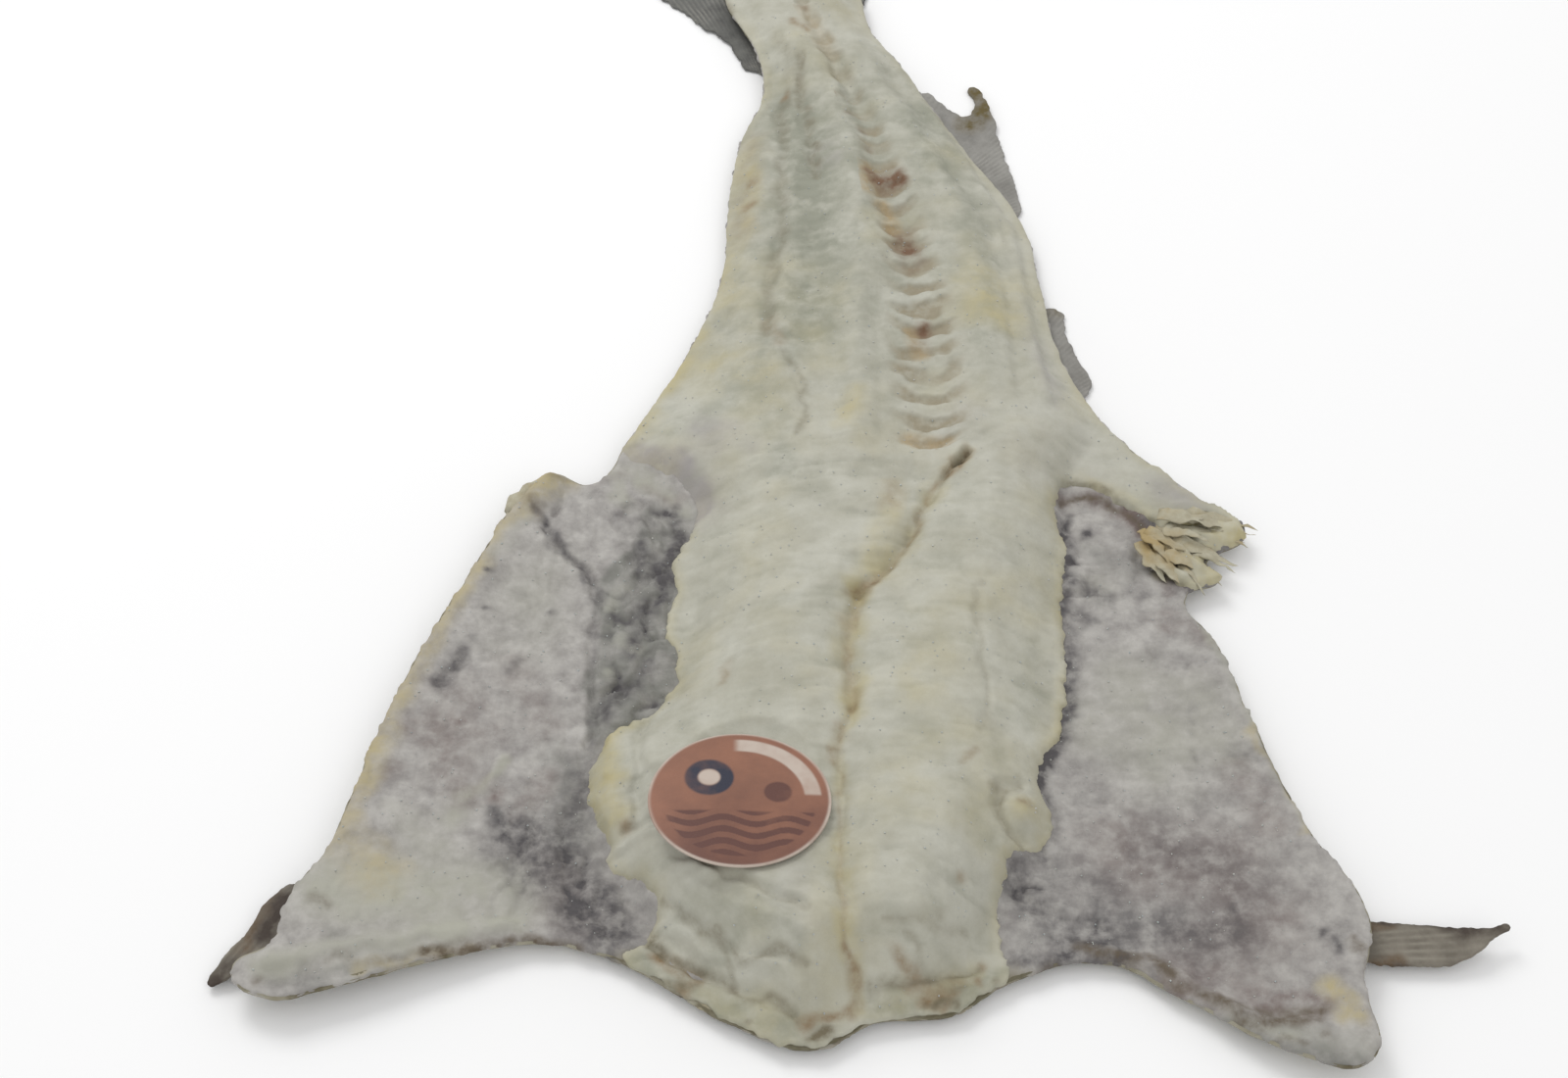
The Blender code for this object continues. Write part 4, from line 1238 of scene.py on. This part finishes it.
FLAP_MOSS = [
    (TAIL_BASE, 24.0, 1.0), ([(-168, -206), (-120, -198)], 7.0, 0.35),
    ([(-150, -190), (-130, -196)], 8.0, 0.3), ([(146, -220), (168, -230), (184, -233)], 9.0, 0.6),
    ([(118, -10), (128, -20)], 10.0, 0.3), ([(-78, -110), (-70, -150)], 14.0, 0.4),
]
FLAP_HEM = [([(-54, -197), (-22, -213), (8, -226), (32, -216), (58, -213), (76, -202)], 11.0, 1.0)]
flap_tables = (FLAP_DARK_AND_SHADE, FLAP_BROWN, FLAP_UMBER, FLAP_FAT, FLAP_PALE, FLAP_MOSS, FLAP_HEM)
print("marks on the flaps:", sum(map(len, flap_tables)))


# %% How the stains of the flaps spread
def strip_beside_loin(x, y):
    """1 on the dark crumpled strip between the left loin and the straight crease."""
    u = x + 2.6 * fractal(x, y, 13.0, 126, 3)
    shift = 16 * smoothstep(-36.0, 6.0, y)  # the strip narrows towards its upper end
    inwards = smoothstep(-73.0 + shift, -69.0 + shift, u) * (x < 0)
    return inwards * smoothstep(18.0, 4.0, y) * smoothstep(-112.0, -98.0, y)


def loin_shadow(x, y):
    """The thin grey line where the right loin's lip meets the lining."""
    near = 1 - smoothstep(0.0, 5.5, distance_to(flesh_tree, x, y))
    beside = smoothstep(80.0, 92.0, x) * smoothstep(-160.0, -120.0, y) * smoothstep(12.0, 2.0, y)
    return 0.75 * near * beside


def valleys(x, y):
    """Painted shade: the dark lines in the valleys of the lining's folds."""
    return np.clip(-0.6 * crumple(x, y) - 0.15, 0, 0.8) * (0.55 + 0.6 * marked(x, y, CRUMPLED))


for label, marks, seed in (
    ("brown", FLAP_BROWN, 121), ("umber", FLAP_UMBER, 122), ("yellow", FLAP_FAT, 123),
    ("pale", FLAP_PALE, 124), ("hem", FLAP_HEM, 127),
):
    paint(flaps, label, broken(marks, seed))
paint(flaps, "moss", lambda x, y: (
    marked(x, y, FLAP_MOSS, warp=STAIN_WARP, seed=125) + 0.6 * strip_beside_loin(x, y)
))
paint(flaps, "shadow", lambda x, y: (
    marked(x, y, FLAP_DARK_AND_SHADE, warp=STAIN_WARP, seed=120) + valleys(x, y) + loin_shadow(x, y)
    # painted shade in the troughs of the fine folds across the right flap
    + 0.18 * np.clip(-streaks(x, y), 0, 1)
))
FLAP_STAINS = [
    ("moss", MOSS, 110.0), ("pale", PALE, 60.0), ("brown", RED_BROWN, 170.0), ("hem", HEM, 60.0),
    ("yellow", FAT, 110.0), ("shadow", BLACK_LINING_AND_SHADE, 170.0), ("umber", UMBER, 220.0),
]
flaps.data.materials.append(dried_material("belly_lining", LINING, LINING_SHADE, 120.0, FLAP_STAINS))
print("stains of the flaps, in order:", [label for label, _, _ in FLAP_STAINS])

# %% [markdown]
# ## Skin
#
# The skin is a thin shell under everything, dark along the back and mottled with olive spots,
# and pale towards the belly. A light line runs along each side of a cod. The skin reaches the
# rim, where its edge shows as a thin darker line below the flesh.

# %% The skin
RAY_SPACING = 3.6
# three folded fins, one behind the other, pressed flat by the fish's own weight
BACK_FINS = [
    [(20, -150), (30, -152), (60, -118), (66, -96), (52, -92), (36, -88), (26, -92)],
    [(40, -20), (52, -26), (78, 16), (88, 50), (76, 58), (64, 88), (56, 92), (50, 40)],
    [(52, 120), (58, 112), (76, 150), (76, 176), (62, 204), (48, 212), (48, 170)],
]
back_fin_lines = [rounded(knots, 2.0) for knots in BACK_FINS]
back_fin_trees = [tree_of(line) for line in back_fin_lines]


def back_fin_share(x, y):
    """1 on a folded back fin, 0 beside it."""
    share = np.zeros(np.shape(x))
    for line, tree in zip(back_fin_lines, back_fin_trees):
        low, high = line.min(axis=0) - 1, line.max(axis=0) + 1
        near = (x > low[0]) & (x < high[0]) & (y > low[1]) & (y < high[1])
        inside = is_inside(line, x[near], y[near])
        share[near] = np.where(inside, smoothstep(0.0, 1.6, distance_to(tree, x[near], y[near])), 0)
    return share


def back_fin_rays(x, y):
    """1 on the rays of the folded fins and 0 between them."""
    across = x - 0.55 * y + 2 * noise(x, y, 20.0, 134)
    return 0.5 + 0.5 * np.cos(2 * math.pi * across / RAY_SPACING)


def skin_top(x, y):
    rim = distance_to(body_tree, x, y)
    return underside(x, y, rim) + 1.8 + 0.8 * smoothstep(2.0, 12.0, rim)


def skin_bottom(x, y):
    """The skin is drawn in between the fins, so that they lie within the fish's thickness."""
    rim = distance_to(body_tree, x, y)
    middle = smoothstep(5.0, 18.0, rim)
    crinkle = 0.35 * (1 - creased(x, y, (9.0, 14.0), 130)) + 0.2 * np.abs(fractal(x, y, 5.0, 131, 3))
    fins = back_fin_share(x, y) * (0.75 + 0.3 * back_fin_rays(x, y))
    return underside(x, y, rim) + middle * (1.05 + crinkle - fins)


skin_line = ragged(BODY_RIM, rough=0.4, size=9.0, seed=25)
skin = slab("skin", skin_line, 4.0, skin_top, skin_bottom, under=1.5, bulge=0.1, node="body")


# %% Colours of the skin
def back_dark(x, y):
    """The dark back, fading towards the belly."""
    aside = np.abs(x - along(SPINE, y))
    return 0.9 * (1 - smoothstep(25.0, 110.0, aside + 12 * fractal(x, y, 25.0, 132, 3)))


def spots(x, y):
    """The cod's round spots, with soft edges and fainter on the dark back."""
    return smoothstep(0.15, 0.5, fractal(x, y, 11.0, 135, 2)) * (0.75 - 0.4 * back_dark(x, y))


def side_line(x, y):
    """A light line along each side, nearer to the spine towards the tail."""
    aside = np.abs(x - along(SPINE, y)) - (24 + 26 * (1 - smoothstep(-60.0, 250.0, y)))
    return 0.8 * (1 - smoothstep(0.8, 2.8, np.abs(aside + 4 * noise(x, y, 60.0, 133))))


paint(skin, "back", back_dark)
paint(skin, "spots", spots)
paint(skin, "line", side_line)
paint(skin, "fin", lambda x, y: back_fin_share(x, y) * (0.55 + 0.45 * (1 - back_fin_rays(x, y))))
SKIN_STAINS = [
    ("back", tone(100, 95, 74), 50.0), ("spots", tone(92, 84, 60), 120.0),
    ("line", tone(176, 172, 154), 60.0), ("fin", tone(84, 78, 66), 200.0),
]
skin.data.materials.append(dried_material(
    "cod_skin", tone(166, 162, 146), tone(138, 132, 112), 70.0, SKIN_STAINS, grain_scale=600.0, relief=0.5,
))
print("skin stains:", [label for label, _, _ in SKIN_STAINS])

# %% [markdown]
# ## Fins
#
# A fin is a fan of thin bony rays in a skin as thin as paper. Salt shrinks the skin between the
# rays, so that each ray stands out. The fins are thin slabs with a rippled top: every ray starts
# at one point behind the root, and its ripple follows the angle round that point.

# %% A fin
def flat(x, y):
    return np.zeros_like(x)


def fin(node, knots, pivot, ray, lift=flat, thickness=1.2, relief=0.22, rough=0.5, seed=200):
    """A fin fanned out from the pivot, in place of its node. ray is the rays' spacing in mm at the
    far end; lift(x, y) adds to the height of the fin's own box."""
    outline = ragged(rounded(knots, 0.8), rough, 4.0, seed)
    box_low, box_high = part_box(node)
    base = (box_low.z + box_high.z) / 2 / MM
    reach = np.hypot(outline[:, 0] - pivot[0], outline[:, 1] - pivot[1]).max()

    def rays(x, y):
        angle = np.arctan2(y - pivot[1], x - pivot[0]) + 0.9 / reach * noise(x, y, 24.0, seed + 1)
        wave = 0.5 + 0.5 * np.cos(2 * math.pi * angle * reach / ray)
        return wave * np.clip(0.7 + 0.6 * noise(x, y, 18.0, seed + 3), 0.3, 1)

    def half(x, y):
        return 0.5 * thickness + relief * (rays(x, y) - 0.5)

    def top(x, y):
        return base + lift(x, y) + half(x, y) + 0.15 * fractal(x, y, 5.0, seed + 2, 3)

    def bottom(x, y):
        return base + lift(x, y) - half(x, y)

    made = slab(node, outline, 0.7, top, bottom, under=0.9, bulge=0.15, node=node)
    paint(made, "ray", lambda x, y: rays(x, y) ** 2)
    return made


def fin_material(name, web, web_shade, ray, *stains):
    """A finish with light rays, and stains over them."""
    return dried_material(name, web, web_shade, 90.0, [("ray", ray, 200.0), *stains], 1400.0, 0.12)


print("fins to make:", [node for node in sorted(frame["nodes"]) if "fin" in node])


# %% The pectoral fins, at the two corners of the collar
RIGHT_PECTORAL = [
    (176, -196), (195, -194.5), (213, -195), (224, -194.5), (232, -191), (238, -186.5), (243, -182),
    (237, -182.5), (230, -182), (216, -179.5), (199, -178), (184, -178),
]
LEFT_PECTORAL = [
    (-160, -164), (-166, -163), (-175, -170), (-181, -183), (-189, -195), (-191, -202),
    (-184, -199), (-172, -196), (-162, -186),
]
RIGHT_DARK = [
    ([(190, -178), (214, -179), (232, -182)], 3.0, 0.9), ([(230, -184), (243, -182)], 7.0, 0.9),
    ([(202, -195), (213, -196)], 2.5, 0.7),
]
RIGHT_RUST = [([(198, -180), (205, -179)], 4.5, 0.8), ([(198, -194), (204, -194)], 4.5, 0.9)]
LEFT_DARK = [
    ([(-191, -202), (-185, -196)], 6.0, 0.9), ([(-170, -192), (-164, -184)], 6.0, 0.9),
    ([(-164, -166), (-171, -174), (-174, -184)], 9.0, 1.0),
]
LEFT_RUST = [([(-174, -170), (-180, -182), (-182, -190)], 6.0, 0.7)]


def right_lift(x, y):
    """Waved across, with a tip that bends up."""
    return 0.9 * np.cos((y + 187) / 6.0) + 3.2 * smoothstep(218.0, 243.0, x)


def left_lift(x, y):
    """Twisted: high where it leaves the flap and low at its outer side."""
    return 2.0 * np.clip((x + 175) / 16, -1, 1) + 0.5 * np.cos((x + y) / 5.0)


right_pectoral = fin("pectoral_fin_right", RIGHT_PECTORAL, (60, -196), 3.4, right_lift, seed=210)
left_pectoral = fin("pectoral_fin_left", LEFT_PECTORAL, (-120, -100), 3.0, left_lift, seed=220)
pectoral_finish = fin_material(
    "pectoral_fin", tone(128, 122, 111), tone(100, 94, 84), tone(134, 129, 117),
    ("rust", tone(92, 72, 50), 200.0), ("dark", tone(66, 57, 50), 120.0),
)
for made, dark, rust in (
    (right_pectoral, RIGHT_DARK, RIGHT_RUST), (left_pectoral, LEFT_DARK, LEFT_RUST),
):
    paint(made, "dark", lambda x, y: marked(x, y, dark))
    paint(made, "rust", lambda x, y: marked(x, y, rust))
    made.data.materials.append(pectoral_finish)
print("pectoral fins:", right_pectoral.name, left_pectoral.name)

# %% The two anal fins, at the right of the tail half
FRONT_ANAL = [(112, 76), (121, 76), (125, 82), (121, 97), (117, 113), (114, 128), (108, 127), (108, 108)]
REAR_ANAL = [
    (93, 189), (101, 188), (102, 204), (99, 222), (96, 240), (94, 255), (91, 268), (86, 277.5),
    (84.5, 276.5), (86.5, 268), (86, 261), (82, 256), (77, 259), (71, 266), (64, 273), (60, 262),
    (73, 232), (86, 206),
]
ANAL_TIPS = [([(87, 277), (93, 262), (84, 252)], 11.0, 1.0), ([(112, 126)], 8.0, 0.5)]


def rear_lift(x, y):
    """Its outer corner at the tail end bends up."""
    return 2.6 * smoothstep(84.0, 100.0, x) * smoothstep(225.0, 275.0, y)


front_anal = fin("anal_fin_front", FRONT_ANAL, (60, 40), 2.6, seed=230)
rear_anal = fin("anal_fin_rear", REAR_ANAL, (20, 150), 3.0, rear_lift, seed=240)
anal_finish = fin_material(
    "anal_fin", tone(146, 144, 139), tone(120, 118, 113), tone(150, 148, 142),
    ("tip", tone(92, 80, 44), 160.0),
)
for made in (front_anal, rear_anal):
    paint(made, "tip", lambda x, y: marked(x, y, ANAL_TIPS))
    made.data.materials.append(anal_finish)
print("anal fins:", front_anal.name, rear_anal.name)

# %% The tail fin
TAIL_FIN = [
    (-2, 292), (-12, 288), (-26, 310), (-46, 332), (-62, 352), (-78, 381), (-91, 412),
    (-94, 428), (-74, 425), (-48, 424), (-22, 427), (4, 434), (20, 437), (27, 424), (31, 398),
    (36, 366), (38, 342), (31, 330), (12, 336),
]


def tail_lift(x, y):
    """Gently waved."""
    return 0.3 * np.sin((x - 0.4 * y) / 9.0) + 0.3


def tail_edge(x, y):
    """The far edge of the tail fin dries darker."""
    return 0.7 * smoothstep(400.0, 436.0, y + 6 * fractal(x, y, 20.0, 252, 3))


tail_fin = fin(
    "tail_fin", TAIL_FIN, (4, 235), 4.4, tail_lift, thickness=0.9, relief=0.34, rough=0.9, seed=250,
)
paint(tail_fin, "edge", tail_edge)
tail_fin.data.materials.append(fin_material(
    "tail_fin", tone(106, 106, 102), tone(78, 78, 76), tone(136, 134, 127),
    ("edge", tone(78, 74, 66), 120.0),
))

# %% [markdown]
# ## Tag
#
# The shop's tag is a disc of thin card, copper in colour, that rests on the left loin and bends a
# little with it. The design here is a plain one in three inks: a navy ring with a cream middle, a
# brown dot, brown waves and a cream arc. Places on it are shares of its radius.
# Painted shade darkens the card towards its bottom.

# %% The tag
CARD = 1.0  # mm thick
angle = np.linspace(0, 2 * math.pi, 360, endpoint=False)
across, ahead = TAG_RADIUS * np.cos(TAG_LEAN)  # a leaning disc looks narrower from above
tag_line = np.column_stack((
    TAG_MIDDLE[0] + across * np.cos(angle), TAG_MIDDLE[1] + ahead * np.sin(angle),
))


def tag_top(x, y):
    return tag_height(x, y) + CARD


tag = slab("tag", tag_line, 0.42, tag_top, tag_height, under=3.0, bulge=0.2, node="tag")

# %% The print on the tag
INK_SOFTNESS = 0.02
RING_MIDDLE, RING_RADIUS, RING_HOLE = (-0.34, 0.3), 0.27, 0.12
DOT_MIDDLE, DOT_RADIUS = (0.42, 0.1), 0.15
WAVE_PITCH, WAVE_TO = 0.17, 0.84
HEM_FROM = 0.975  # the card's cut edge shows cream


def tag_place(x, y):
    return (x - TAG_MIDDLE[0]) / TAG_RADIUS, (y - TAG_MIDDLE[1]) / TAG_RADIUS


def disc(x, y, middle, radius):
    u, v = tag_place(x, y)
    off = np.hypot(u - middle[0], v - middle[1])
    return 1 - smoothstep(radius - INK_SOFTNESS, radius + INK_SOFTNESS, off)


def waves(x, y):
    u, v = tag_place(x, y)
    line = 0.5 + 0.5 * np.cos(2 * math.pi * (v + 0.05 * np.sin(9 * u)) / WAVE_PITCH)
    return smoothstep(0.42, 0.58, line) * (1 - smoothstep(-0.22, -0.18, v)) * disc(x, y, (0, 0), WAVE_TO)


def arc(x, y):
    u, v = tag_place(x, y)
    round_middle = np.hypot(u, v)
    band = smoothstep(0.7, 0.73, round_middle) * (1 - smoothstep(0.88, 0.91, round_middle))
    return band * smoothstep(0.05, 0.1, v) * smoothstep(-0.1, 0.0, u)


def navy_ink(x, y):
    return disc(x, y, RING_MIDDLE, RING_RADIUS) - disc(x, y, RING_MIDDLE, RING_HOLE)


def cream_ink(x, y):
    return arc(x, y) + disc(x, y, RING_MIDDLE, RING_HOLE) + 1 - disc(x, y, (0, 0), HEM_FROM)


def brown_ink_and_shade(x, y):
    """The brown waves and dot of the print, over painted shade that darkens the tag towards its bottom."""
    # painted shade: the tag darkens towards its bottom
    shade = 0.55 * smoothstep(0.35, -0.6, tag_place(x, y)[1])
    return waves(x, y) + disc(x, y, DOT_MIDDLE, DOT_RADIUS) + shade


paint(tag, "navy", navy_ink)
paint(tag, "cream", cream_ink)
paint(tag, "brown", brown_ink_and_shade)
TAG_INKS = [
    ("brown", tone(92, 58, 50), 30.0), ("navy", tone(40, 42, 58), 30.0),
    ("cream", tone(186, 172, 160), 30.0),
]
tag_finish = dried_material(
    "tag_card", tone(146, 100, 78), tone(124, 85, 68), 30.0, TAG_INKS, grain_scale=2000.0, relief=0.03,
)
tag_shader = tag_finish.node_tree.nodes["Principled BSDF"]
tag_shader.inputs["Coat Weight"].default_value = 0.25
tag_shader.inputs["Coat Roughness"].default_value = 0.35
tag.data.materials.append(tag_finish)
print("inks on the tag:", [label for label, _, _ in TAG_INKS])

# %% [markdown]
# ## Torn shreds and salt
#
# Where a corner of the upper flap was torn, pointed flakes of dried flesh stick out over each
# other. Each is swept along a bent line, with a frayed width and turned-up sides. Last comes the
# salt: small rough cubes that cling to the flesh and the lining.

# %% A torn flake
RING_POINTS, RINGS = 10, 18  # of one flake, round it and along it
EDGE_CURL = 0.08  # of the width, that the sides turn up by


def flake(path, width, thickness, seed):
    """Points and faces of a torn flake along a path of (x, y, z) points: pointed, frayed, ruffled."""
    path = np.array(path, float)
    share = np.linspace(0, 1, RINGS)
    knots, at = np.arange(len(path)), share * (len(path) - 1)
    place = np.column_stack([np.interp(at, knots, path[:, axis]) for axis in range(3)])
    way = np.gradient(place, axis=0)
    side = np.column_stack((way[:, 1], -way[:, 0], 0 * way[:, 0]))
    side /= np.linalg.norm(side, axis=1, keepdims=True)
    fray = 1 + 0.4 * noise(share * 9, 0 * share + seed, 1.0, 263)
    taper = np.minimum(1.0, 0.55 + 1.6 * share) * np.clip(1 - share ** 1.3, 0, 1) * fray
    taper, up = taper[:, None], np.array((0, 0, 1))
    lines = []
    for turn in 2 * math.pi * np.arange(RING_POINTS) / RING_POINTS:
        across, over = math.cos(turn), math.sin(turn)
        height = thickness / 2 * over + EDGE_CURL * width * (across ** 2 - 0.4)
        lines.append(place + side * taper * width / 2 * across + up * taper * height)
    points = np.stack(lines, axis=1)  # ring by ring
    points[..., 2] += 0.9 * fractal(points[..., 0] + 3.0 * seed, points[..., 1], 3.6, 261, 3)
    points[..., 1] += 0.6 * fractal(points[..., 0], points[..., 1] + 3.0 * seed, 4.0, 262, 2)
    number = np.arange(RINGS * RING_POINTS).reshape(RINGS, RING_POINTS)
    beside = np.roll(number, -1, axis=1)
    walls = np.stack((number[:-1], number[1:], beside[1:], beside[:-1]), axis=-1)
    faces = walls.reshape(-1, 4).tolist()
    return points.reshape(-1, 3), faces + [number[0].tolist(), number[-1, ::-1].tolist()]


def join(parts):
    """Many small solids as one list of points and one of faces."""
    points, faces, start = [], [], 0
    for some_points, some_faces in parts:
        points.append(some_points)
        faces += [tuple(number + start for number in face) for face in some_faces]
        start += len(some_points)
    return np.vstack(points), faces


print("points of one flake:", RINGS * RING_POINTS)


# %% The torn tuft and the knob
# root, tip, width: from the torn corner outwards, the lowest first
TUFT = [
    ((146, 3, 10), (182, -1, 7.0), 10.0), ((142, -4, 10), (176, -9, 7.0), 9.0),
    ((141, -9, 10), (172, -20, 7.0), 11.0), ((139, -12, 9), (165, -30, 6.5), 11.0),
    ((137, -13, 9), (153, -33, 6.0), 9.0), ((135, -10, 9), (144, -29, 6.5), 8.0),
    ((143, 2, 12), (173, -4, 9.5), 8.0), ((144, -7, 12), (162, -12, 10.5), 6.0),
    ((138, -6, 12), (160, -25, 8.5), 8.0), ((136, -6, 11), (147, -25, 9.0), 7.0),
    ((150, -1, 12), (166, 1, 9.5), 5.0),
    # thin strips of torn muscle
    ((158, -2, 9), (181, -4, 7.5), 3.8), ((154, -14, 8.5), (171, -23, 6.5), 3.8),
    ((149, -21, 8), (158, -35, 6.0), 3.4), ((161, -8, 8.5), (177, -11, 7.0), 3.4),
]
KNOB = [  # path, width, thickness, at the left end of the upper flap
    ([(-104, 6, 6.5), (-99, 15, 9), (-91, 21, 9), (-79, 21, 7)], 14.0, 8.0),
    ([(-98, 2, 7.5), (-94, 10, 10.5), (-86, 14, 9.5)], 8.0, 4.0),
]
TUFT_THICKNESS = 1.9
TUFT_TIPS = [([(137, -8), (146, -20)], 10.0, 0.8), ([(176, -3)], 9.0, 0.4)]


def tuft_flake(root, tip, width, seed):
    """A flake that arches from its root to its tip, each a little differently."""
    root, tip = np.array(root, float), np.array(tip, float)
    middle = (root + tip) / 2 + (0, 1.5 * math.sin(seed), 1.8 + 0.8 * math.cos(2.0 * seed))
    rising, falling = (root + middle) / 2 + (0, 0, 0.6), (middle + tip) / 2 + (0, 0, 0.4)
    return flake([root, rising, middle, falling, tip], width, TUFT_THICKNESS, seed)


def shred_tips(x, y):
    """Where the flakes are darker: by marks, and in patches."""
    return marked(x, y, TUFT_TIPS) + 0.5 * np.clip(fractal(x, y, 5.0, 260, 2), 0, 1)


flakes = [tuft_flake(*piece, seed=i) for i, piece in enumerate(TUFT)]
flakes += [flake(path, width, thickness, seed=30 + i) for i, (path, width, thickness) in enumerate(KNOB)]
shreds = mesh_object("torn_shreds", *join(flakes))
paint(shreds, "tip", shred_tips)
shreds.data.materials.append(dried_material(
    "torn_shred", tone(180, 176, 156), tone(158, 150, 127), 180.0,
    [("tip", tone(164, 145, 104), 120.0)], relief=0.5,
))
print("torn flakes:", len(flakes))

# %% Salt
SALT_GRAINS = 1400
TRIES = 4  # places drawn for each grain that is wanted, as many fall beside the fish
FIELD_X, FIELD_Y = (-175, 190), (-225, 340)
CLEAR_OF_TAG = 5.0
SMALLEST, LARGEST = 0.1, 0.28  # half a grain's side
SUNK = 0.4  # of that half side, above the surface
CUBE = np.array([(a, b, c) for a in (-1, 1) for b in (-1, 1) for c in (-1, 1)], float)
CUBE_FACES = [(0, 1, 3, 2), (4, 6, 7, 5), (0, 4, 5, 1), (2, 3, 7, 6), (0, 2, 6, 4), (1, 5, 7, 3)]

salt_border = ragged(BODY_RIM[::2], 0.5, 9.0, 5) * 0.985


def salt_grains(count, seed):
    """Rough cubes, turned every way, where the surface shows."""
    dice = np.random.default_rng(seed)
    x, y = dice.uniform(*FIELD_X, count * TRIES), dice.uniform(*FIELD_Y, count * TRIES)
    off_tag = np.hypot(x - TAG_MIDDLE[0], y - TAG_MIDDLE[1]) - TAG_RADIUS
    kept = is_inside(salt_border, x, y) & (off_tag > CLEAR_OF_TAG)
    x, y = x[kept][:count], y[kept][:count]
    z = np.where(is_inside(flesh_line, x, y), flesh_top(x, y), flap_top(x, y))
    z = np.where(bone_share(x, y) < 1, bone_top(x, y), z)
    parts = []
    for place in np.column_stack((x, y, z)):
        size = dice.uniform(SMALLEST, LARGEST)
        turned, _ = np.linalg.qr(dice.normal(size=(3, 3)))
        corners = CUBE * size * dice.uniform(0.75, 1.15, CUBE.shape)
        parts.append((corners @ turned + place + (0, 0, size * SUNK), CUBE_FACES))
    return join(parts)


salt = mesh_object("salt_grains", *salt_grains(SALT_GRAINS, 300), smooth=False)
salt_finish = bpy.data.materials.new("rock_salt")
salt_finish.use_nodes = True
salt_shader = salt_finish.node_tree.nodes["Principled BSDF"]
salt_shader.inputs["Base Color"].default_value = tone(178, 178, 171)
salt_shader.inputs["Roughness"].default_value = 0.35
salt_shader.inputs["Subsurface Weight"].default_value = 0.2
salt.data.materials.append(salt_finish)
print("salt grains:", SALT_GRAINS)

# %% [markdown]
# ## Camera, floor and light
#
# The camera looks down at the fish from the nape end. The light is a broad soft one from above.

# %% Camera
VIEW_DOWN, VIEW_DISTANCE = math.radians(48.0), 0.983
LENS, SENSOR, NEAREST = 58.5, 36.0, 0.01
camera = bpy.data.objects.new("camera", bpy.data.cameras.new("camera"))
bpy.context.scene.collection.objects.link(camera)
camera.data.lens, camera.data.sensor_width, camera.data.clip_start = LENS, SENSOR, NEAREST
camera.location = SHIFT + Vector((
    0.0, -VIEW_DISTANCE * math.cos(VIEW_DOWN), VIEW_DISTANCE * math.sin(VIEW_DOWN)
))
camera.rotation_euler = (math.pi / 2 - VIEW_DOWN, 0.0, 0.0)
bpy.context.scene.camera = camera
print("camera at", [round(v, 3) for v in camera.location])

# %% Floor
FLOOR_REACH, FLOOR_GAP = 4.0, 0.0002  # metres; the gap keeps the floor clear of the skin
floor_mesh = bpy.data.meshes.new("floor")
corners = [(x * FLOOR_REACH, y * FLOOR_REACH, 0) for x, y in ((-1, -1), (1, -1), (1, 1), (-1, 1))]
floor_mesh.from_pydata(corners, [], [(0, 1, 2, 3)])
floor = bpy.data.objects.new("floor", floor_mesh)
bpy.context.scene.collection.objects.link(floor)
floor.location.z = -FLOOR_GAP
floor_material = bpy.data.materials.new("floor")
floor_material.use_nodes = True
floor_shader = floor_material.node_tree.nodes["Principled BSDF"]
floor_shader.inputs["Base Color"].default_value = (0.9, 0.9, 0.9, 1)
floor_shader.inputs["Roughness"].default_value = 0.9
floor_mesh.materials.append(floor_material)
print("floor:", 2 * FLOOR_REACH, "m square")

# %% Lights
world = bpy.data.worlds.new("studio")
world.use_nodes = True
sky = world.node_tree.nodes["Background"]
sky.inputs["Color"].default_value = (1.0, 1.0, 1.0, 1.0)
sky.inputs["Strength"].default_value = 0.78
bpy.context.scene.world = world
bpy.context.scene.view_settings.view_transform = "Standard"


def softbox(name, place, size, power):
    """A square area light, placed from the drawing's point on the table and aimed at it."""
    light = bpy.data.lights.new(name, "AREA")
    light.energy, light.size = power, size
    made = bpy.data.objects.new(name, light)
    bpy.context.scene.collection.objects.link(made)
    made.location = SHIFT + Vector(place)
    made.rotation_euler = (-Vector(place)).to_track_quat("-Z", "Y").to_euler()


softbox("top_light", (-0.7, 1.1, 1.5), 0.9, 14.0)
softbox("front_fill", (0.8, -1.2, 1.4), 1.4, 4.0)
print("lights:", [light.name for light in bpy.data.lights])
